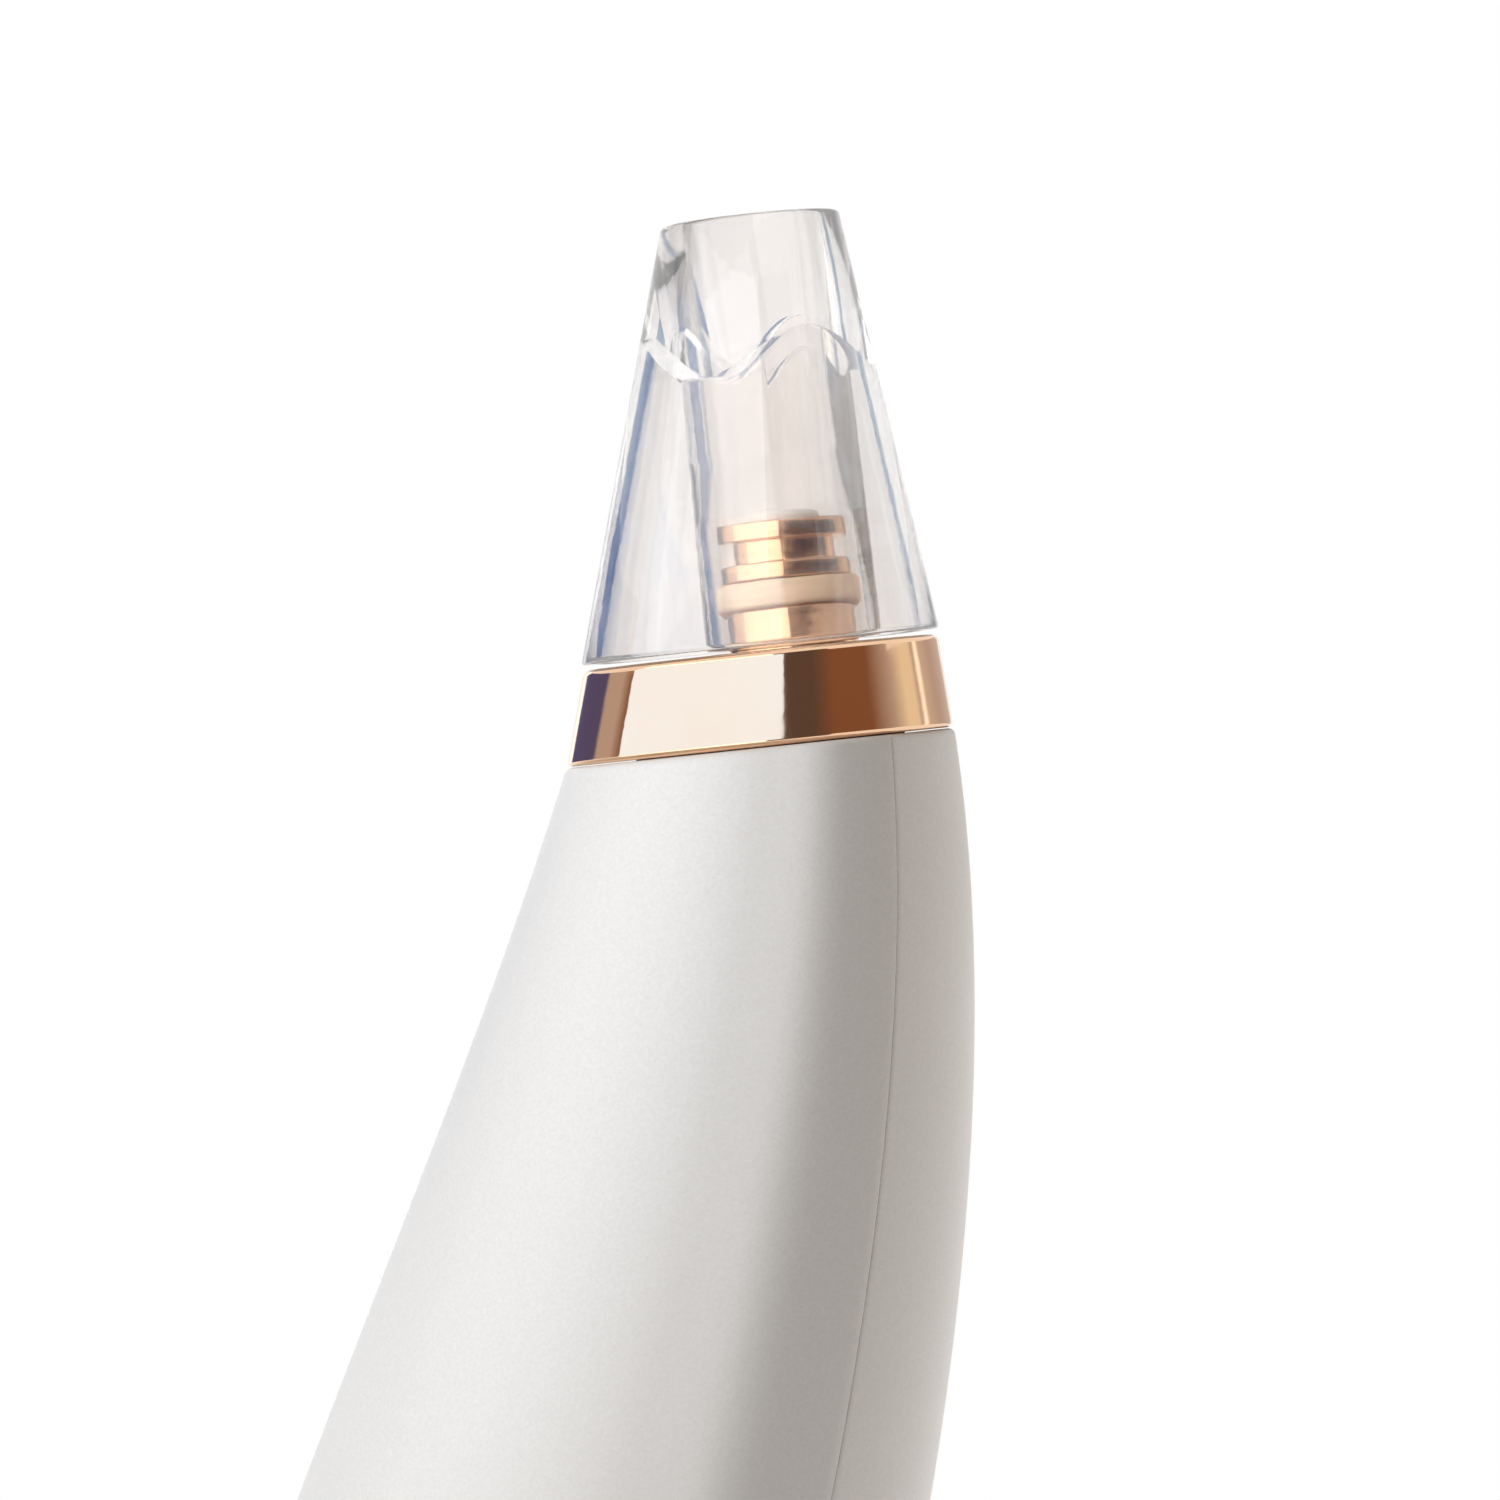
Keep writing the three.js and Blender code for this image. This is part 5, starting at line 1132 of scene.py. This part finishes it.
inner_clear = WALL + TONGUE_GAP + TONGUE_WALL + FIT_GAP
cap_top = BODY_BOTTOM - FIT_GAP
pad_inset = CAP_ROUND + FOOT_MARGIN
base_half, base_side, _ = section(2)
base_outline = np.concatenate((back_line(base_half, base_side), front_line(base_half, base_side)[1:-1]))
base_outline = evenly(np.concatenate((base_outline, base_outline[:1])), CAP_POINTS + 1, 0)[:-1]


def base_ring(height, inset):
    """The lowest section drawn in by an inset, at a height."""
    before, after = np.roll(base_outline, 1, 0), np.roll(base_outline, -1, 0)
    along = after - before
    along /= np.linalg.norm(along, axis=1)[:, None]
    moved = base_outline + inset * np.stack((-along[:, 1], along[:, 0]), 1)
    return np.insert(moved, 2, height, axis=1)


cap_rows = [(FOOT_PROUD + FOOT_RECESS, pad_inset), (FOOT_PROUD, pad_inset)]
for angle in quarter(CAP_EDGE_STEPS):
    rise = (cap_top - FOOT_PROUD) * (1 - math.cos(angle))
    cap_rows.append((FOOT_PROUD + rise, CAP_ROUND * (1 - math.sin(angle))))
cap_rows += [
    (cap_top, inner_clear),
    (BODY_BOTTOM + CAP_RIM, inner_clear),
    (BODY_BOTTOM + CAP_RIM, inner_clear + CAP_RIM_WALL),
    (FOOT_PROUD + FOOT_RECESS + CAP_FLOOR, inner_clear + CAP_RIM_WALL),
]
base_cap = skin("base_cap_moulding", [base_ring(*row) for row in cap_rows], wrap=False)
stand_in(base_cap, "base_cap")

# %% Make the pad
FOOT_PAD = 1.35
STUD_HEIGHT = 0.3
PAD_EDGE = 0.3
pad_side = pad_inset + SLIP_GAP
pad_corners = [(STUD_HEIGHT, pad_inset + 3 * SLIP_GAP), (STUD_HEIGHT, pad_side), (FOOT_PAD, pad_side)]
pad_edge = rounded(pad_corners, PAD_EDGE, closed=False)
pad = skin("foot_pad_rubber", [base_ring(*row) for row in pad_edge], wrap=False)
stand_in(pad, "foot_pad")

# %% Sizes of the studs
STUD_PITCH = 2.1
STUD_RADIUS = 0.62
STUD_ROWS = 15
STUD_MARGIN = 1.6
stud_reach = (base_half - pad_inset - STUD_MARGIN, base_side - pad_inset - STUD_MARGIN)

stud_inputs = {
    "Rows": ("Int", STUD_ROWS),
    "Width": ("Float", STUD_PITCH * (STUD_ROWS - 1) * MM),
    "Reach": ("Vector", (1 / (stud_reach[0] * MM), 1 / (stud_reach[1] * MM), 0.0)),
    "Place": ("Vector", (0.0, 0.0, STUD_HEIGHT * MM)),
    "Stud": ("Vector", (STUD_RADIUS * MM, STUD_RADIUS * MM, STUD_HEIGHT * MM)),
}
print("studs reach", np.round(stud_reach, 1), "mm from the middle")

# %% Grow the studs
STUD_SEGMENTS = 10
STUD_RINGS = 6

stud_tree, given, result = geometry_tree("Grip studs", stud_inputs)
width, rows = given["Width"], given["Rows"]
grid_size = {"Size X": width, "Size Y": width, "Vertices X": rows, "Vertices Y": rows}
grid = add_node(stud_tree, "GeometryNodeMeshGrid", grid_size)
spot = add_node(stud_tree, "GeometryNodeInputPosition")
shares = {0: spot.outputs[0], 1: given["Reach"]}
shared = add_node(stud_tree, "ShaderNodeVectorMath", shares, operation="MULTIPLY")
radius = add_node(stud_tree, "ShaderNodeVectorMath", {0: shared.outputs[0]}, operation="LENGTH")
inside = {0: radius.outputs["Value"], 1: 1.0}
on_pad = add_node(stud_tree, "FunctionNodeCompare", inside, operation="LESS_THAN")
ball_size = {"Segments": STUD_SEGMENTS, "Rings": STUD_RINGS, "Radius": 1.0}
ball = add_node(stud_tree, "GeometryNodeMeshUVSphere", ball_size)
lowered = {"Geometry": grid.outputs["Mesh"], "Offset": given["Place"]}
moved = add_node(stud_tree, "GeometryNodeSetPosition", lowered)
studs = {
    "Points": moved.outputs[0],
    "Selection": on_pad.outputs[0],
    "Instance": ball.outputs["Mesh"],
    "Scale": given["Stud"],
}
place_copies(stud_tree, studs, finishes["grey_rubber"], result["Geometry"])
foot_studs = grow("foot_pad_studs", stud_tree, stud_inputs)
foot_studs.data.shade_smooth()
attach(foot_studs, "housing")
print("studs:", len(foot_studs.data.polygons), "faces")

# %% [markdown]
# ## The pump's diaphragm
# A diaphragm is a rubber sheet: its rim is clamped while the rod pushes its middle to and fro. A rigid solid
# can't do both, so two pieces stand in for it. The rim stays, and the middle rides on the rod and slides in
# the rim's hole, deep enough that no gap opens at either end of the stroke.

# %% Make the rim
SHEET_POINTS = 96
SHEET_HOLE = 4.8

sheet_node = nodes["pump_diaphragm"]
sheet = np.array([sheet_node.matrix_world @ v.co for v in sheet_node.data.vertices]) / MM
sheet_low, sheet_high = sheet.min(0), sheet.max(0)
sheet_middle, sheet_half = (sheet_low + sheet_high) / 2, (sheet_high - sheet_low) / 2
sheet_sweep = full_turn(SHEET_POINTS)
disc = np.stack((np.cos(sheet_sweep), np.sin(sheet_sweep)), 1)
square = disc / np.abs(disc).max(1, keepdims=True) * sheet_half[1:]


def sheet_ring(x, line):
    """A ring across the pump, at one place along the rod's stroke."""
    return np.column_stack((np.full(len(line), x), line + sheet_middle[1:]))


sheet_back, sheet_front = sheet_low[0], sheet_high[0]
sheet_hole = SHEET_HOLE * disc
rim_rows = [(sheet_back, square), (sheet_front, square), (sheet_front, sheet_hole), (sheet_back, sheet_hole)]
diaphragm_rim = skin("diaphragm_rim", [sheet_ring(*row) for row in rim_rows], wrap=True)
stand_in(diaphragm_rim, "pump_diaphragm")

# %% Make the middle
MIDDLE_FLANGE_RADIUS = 4.7
MIDDLE_FLANGE_TOP = 0.45
MIDDLE_RADIUS = 4.4
MIDDLE_EDGE = 0.2
MIDDLE_INSET = 0.05

middle_step = sheet_back + MIDDLE_FLANGE_TOP
middle_back, middle_front = sheet_back - FIT_GAP + MIDDLE_INSET, sheet_front - MIDDLE_INSET
middle_steps = stepped(
    (CENTRE, middle_back),
    (MIDDLE_FLANGE_RADIUS, middle_back, middle_step),
    (MIDDLE_RADIUS, middle_step, middle_front),
    (CENTRE, middle_front),
)
middle_profile = rounded(middle_steps, MIDDLE_EDGE, closed=False)
middle_rings = [sheet_ring(x, r * disc) for r, x in middle_profile]
diaphragm_middle = skin("diaphragm_middle", middle_rings, wrap=False)
stand_in(diaphragm_middle, "pump_diaphragm", "rod")

# %% [markdown]
# ## The suction axis
# Collar, nozzle, seal, sponge and probe all stand on one leaning axis. Its direction is the probe joint's,
# and the rim's mount says where it ends, so both come from the frame and not from measuring.

# %% Find the axis
PROBE_HEIGHT = 29.9
ROUND = 128

axis = np.array(joints["probe_pull"]["axis"])
across = np.array((axis[2], 0, -axis[0]))
tip = np.array(mounts["mouth_rim"]["pos_m"]) / MM
tip[1] = 0
probe_foot = tip - axis * PROBE_HEIGHT


def on_axis(x, y, z):
    """Places beside the suction axis at heights above the probe's foot."""
    x, y, z = np.broadcast_arrays(x, y, z)
    return probe_foot + x[:, None] * across + y[:, None] * np.array((0, 1, 0)) + z[:, None] * axis


circle = full_turn(ROUND)


def turned_rings(profile):
    """A ring round the suction axis for each (radius, height) of a profile."""
    return [on_axis(r * np.cos(circle), r * np.sin(circle), z) for r, z in profile]


print("axis starts at", np.round(probe_foot, 2))

# %% [markdown]
# ## The collar
# A plated ring closes the neck. Its outside runs from an oval foot to a round top, and its edges are
# softly rounded, which is what catches the thin bright lines in the photograph. Plating is metal to the eye,
# with the slow ripple of the plastic below it.

# %% Rings of the collar
COLLAR_TOP = -0.35
COLLAR_HEIGHT = 6.58
COLLAR_TOP_RADIUS = 12.45
COLLAR_STEP = 0.05
COLLAR_SHIFT = 0.72
COLLAR_POINTS = 220
PROBE_ECCENTRICITY = 2.4

collar_bottom = COLLAR_TOP - COLLAR_HEIGHT
collar_sweep = full_turn(COLLAR_POINTS)
collar_round = np.stack((np.cos(collar_sweep), np.sin(collar_sweep)), 1)
collar_head = COLLAR_TOP_RADIUS * collar_round
collar_half = np.array((NECK_DEPTH / 2 - COLLAR_STEP, NECK_WIDTH / 2 - COLLAR_STEP))
collar_foot = collar_round * collar_half - (COLLAR_SHIFT, 0)


def collar_outside(height, drawn_in):
    share = (height - collar_bottom) / COLLAR_HEIGHT
    mixed = collar_foot * (1 - share) + collar_head * share
    mixed = mixed * (1 - drawn_in / np.linalg.norm(mixed, axis=1))[:, None]
    return on_axis(mixed[:, 0] - PROBE_ECCENTRICITY, mixed[:, 1], height)


def collar_inside(height, radius, shift):
    x, y = radius * np.cos(collar_sweep) + shift, radius * np.sin(collar_sweep)
    return on_axis(x - PROBE_ECCENTRICITY, y, height)


# %% Make the collar
COLLAR_EDGE = 0.45
COLLAR_EDGE_STEPS = 6
COLLAR_PLATE = 1.5
COLLAR_BORE = 9.9
NOZZLE_RADIUS = 4.55

corner = rounded_edge(COLLAR_EDGE, COLLAR_EDGE_STEPS)
collar_rows = [(collar_bottom + rise, inset) for rise, inset in corner[::-1]]
collar_rows += [(COLLAR_TOP - fall, inset) for fall, inset in corner]
hole = NOZZLE_RADIUS + FIT_GAP
plate_under = COLLAR_TOP - COLLAR_PLATE
collar = skin(
    "collar_plated",
    [
        *(collar_outside(*row) for row in collar_rows),
        collar_inside(COLLAR_TOP, hole, PROBE_ECCENTRICITY),
        collar_inside(plate_under, hole, PROBE_ECCENTRICITY),
        collar_inside(plate_under, COLLAR_BORE, 0),
        collar_inside(collar_bottom, COLLAR_BORE, 0),
    ],
    wrap=True,
)
stand_in(collar, "collar_ring")

# %% [markdown]
# ## Nozzle, seal and sponge
# The nozzle is a stepped, turned part: a stem, a seat for the seal, two flanges with a neck between them,
# and a tail for the hose below. A turned part is a profile taken round its axis. Its corners are rounded,
# because plated corners always are.

# %% Sizes of the nozzle
NOZZLE_FLANGE_RADIUS = 4.6
NOZZLE_NECK_RADIUS = 3.6
NOZZLE_STEM_TOP = 2.8
NOZZLE_FOOT = 1.6
NOZZLE_FOOT_RADIUS = 7.2
NOZZLE_TAIL = 14.2
NOZZLE_BORE = 1.4
BARB_RADIUS = 2.2
BARB_TAPER = 2.4
SEAL_HEIGHT = 1.9
SEAL_RADIUS = 5.15
SEAL_GROOVE_RADIUS = 3.8
LOWER_FLANGE = 1.1
NECK_LENGTH = 1.55
UPPER_FLANGE = 1.25
FILTER_RADIUS = 2.6
FILTER_SEAT_DEPTH = 4.8
FILTER_PROUD = 1.1

seal_top = NOZZLE_STEM_TOP + SEAL_HEIGHT
lower_top = seal_top + LOWER_FLANGE
neck_end = lower_top + NECK_LENGTH
nozzle_top = neck_end + UPPER_FLANGE
foot_top = plate_under - FIT_GAP
foot_bottom = foot_top - NOZZLE_FOOT
barb_root = BARB_RADIUS - SLIP_GAP
filter_seat = nozzle_top - FILTER_SEAT_DEPTH
print("nozzle from", -NOZZLE_TAIL, "to", round(nozzle_top, 2), "mm")

# %% Make the nozzle
NOZZLE_EDGE = 0.12
nozzle_steps = stepped(
    (NOZZLE_BORE, -NOZZLE_TAIL),
    (barb_root - SLIP_GAP, -NOZZLE_TAIL),
    (BARB_RADIUS, BARB_TAPER - NOZZLE_TAIL),
    (barb_root, BARB_TAPER - NOZZLE_TAIL, foot_bottom),
    (NOZZLE_FOOT_RADIUS, foot_bottom, foot_top),
    (NOZZLE_RADIUS, foot_top, NOZZLE_STEM_TOP),
    (SEAL_GROOVE_RADIUS, NOZZLE_STEM_TOP, seal_top),
    (NOZZLE_FLANGE_RADIUS, seal_top, lower_top),
    (NOZZLE_NECK_RADIUS, lower_top, neck_end),
    (NOZZLE_FLANGE_RADIUS, neck_end, nozzle_top),
    (FILTER_RADIUS + SLIP_GAP, nozzle_top, filter_seat),
    (NOZZLE_BORE, filter_seat),
)
nozzle_profile = rounded(nozzle_steps, NOZZLE_EDGE)
nozzle = skin("nozzle_plated", turned_rings(nozzle_profile), wrap=True)
stand_in(nozzle, "nozzle")

# %% Make the seal
SEAL_EDGE = 0.35
seal_low, seal_high = NOZZLE_STEM_TOP + SLIP_GAP / 2, seal_top - SLIP_GAP / 2
seal_profile = four_sided(SEAL_GROOVE_RADIUS + SLIP_GAP, SEAL_RADIUS, seal_low, seal_high, SEAL_EDGE)
seal = skin("seal_silicone", turned_rings(seal_profile), wrap=True)
stand_in(seal, "nozzle_seal")

# %% Make the sponge
SPONGE_EDGE = 0.7
SPONGE_EDGE_STEPS = 8
sponge_low, sponge_high = filter_seat + SLIP_GAP, nozzle_top + FILTER_PROUD
sponge_kind = {"closed": False, "steps": SPONGE_EDGE_STEPS}
sponge_profile = four_sided(CENTRE, FILTER_RADIUS, sponge_low, sponge_high, SPONGE_EDGE, **sponge_kind)
sponge = skin("sponge_foam", turned_rings(sponge_profile), wrap=False)
stand_in(sponge, "filter_sponge", "filter")

# %% [markdown]
# ## The probe
# The clear probe is a leaning cone round a straight tube. A web joins them below the mouth, and its edge
# runs round the cone in three waves. Clear plastic shows its inner surfaces as much as its outside, so every
# wall is modelled, with rounded edges, as one closed skin of rings.

# %% Sizes of the probe
PROBE_FOOT_RADIUS = 12.6
PROBE_TIP_RADIUS = 6.25
PROBE_WALL = 1.15
TIP_RIM = 1.2
TIP_EDGE = 0.3
MOUTH_DEPTH = 9
PROBE_BORE_RADIUS = 4.7
PROBE_BLEND = 1.4
TUBE_WALL = 0.85
TUBE_TOP_RADIUS = 5.9
WEB_RISE = 0.1
WAVE_HEIGHT = 20.2
WAVE_RISE = 1.6
WAVE_COUNT = 3
WAVE_TURN = math.radians(-60)
SOCKET_HEADROOM = 2.4
SOCKET_BLEND = 2.2
PROBE_ROUND = 192

probe_circle = full_turn(PROBE_ROUND)
socket_top = nozzle_top + SOCKET_HEADROOM
socket_radius = SEAL_RADIUS + SLIP_GAP
tube_radius = socket_radius + TUBE_WALL
print("socket", round(2 * socket_radius, 2), "mm across")


# %% Rings of the probe
def cone_ring(height, wall):
    """A ring of the leaning cone, a wall inside its surface. Height is one value, or one for each angle."""
    share = height / PROBE_HEIGHT
    radius = PROBE_FOOT_RADIUS + (PROBE_TIP_RADIUS - PROBE_FOOT_RADIUS) * share - wall
    x = radius * np.cos(probe_circle) - PROBE_ECCENTRICITY * (1 - share)
    return np.stack(np.broadcast_arrays(x, radius * np.sin(probe_circle), height), 1)


def tube_ring(radius, height):
    x, y = radius * np.cos(probe_circle), radius * np.sin(probe_circle)
    return np.stack(np.broadcast_arrays(x, y, height), 1)


# %% Outside of the cone, from its foot up to the rim
TIP_EDGE_STEPS = 4
SKIRT_STEPS = 6

edge = rounded_edge(TIP_EDGE, TIP_EDGE_STEPS)
rings = [cone_ring(rise, inset) for rise, inset in edge[::-1]]
rings += [cone_ring(h, 0) for h in np.linspace(TIP_EDGE, PROBE_HEIGHT - TIP_EDGE, SKIRT_STEPS)[1:-1]]
rings += [cone_ring(PROBE_HEIGHT - fall, inset) for fall, inset in edge]
print(len(rings), "rings outside")

# %% Down the mouth and the socket, and round the tube's foot
LIP_REACH = 0.5
BORE_EDGE = 0.3

mouth_radius = PROBE_TIP_RADIUS - TIP_RIM
bore_steps = stepped(
    (mouth_radius + LIP_REACH, PROBE_HEIGHT),
    (mouth_radius, PROBE_HEIGHT),
    (PROBE_BORE_RADIUS, PROBE_HEIGHT - MOUTH_DEPTH, socket_top + SOCKET_BLEND),
    (socket_radius, socket_top - SOCKET_BLEND, 0),
    (tube_radius, 0),
    (TUBE_TOP_RADIUS, WAVE_HEIGHT - WAVE_RISE - WEB_RISE),
)
bore_profile = rounded(bore_steps, BORE_EDGE, closed=False)
rings += [tube_ring(*p) for p in bore_profile[1:-1]]
print(len(rings), "rings with the tube")

# %% Over the wavy web and down the inside
WEB_STEPS = 12
BLEND_STEPS = 4

wave = WAVE_HEIGHT + WAVE_RISE * np.cos(WAVE_COUNT * (probe_circle - WAVE_TURN))
waist = tube_ring(TUBE_TOP_RADIUS, wave - WEB_RISE)
crest = cone_ring(wave, PROBE_WALL)
for turn_in in quarter(WEB_STEPS):
    climb, reach = math.sin(turn_in), 1 - math.cos(turn_in)
    rings.append(waist + (crest - waist) * (reach, reach, climb))
low = WAVE_HEIGHT - WAVE_RISE - PROBE_BLEND
for k in range(1, BLEND_STEPS + 1):
    rings.append(cone_ring(wave + (low - wave) * k / BLEND_STEPS, PROBE_WALL))
rings += [cone_ring(h, PROBE_WALL) for h in np.linspace(low, TIP_EDGE, SKIRT_STEPS)[1:]]
rings += [cone_ring(rise, PROBE_WALL - inset) for rise, inset in edge]
probe = skin("probe_clear", [on_axis(*ring.T) for ring in rings], wrap=True)
stand_in(probe, "suction_probe", "probe")
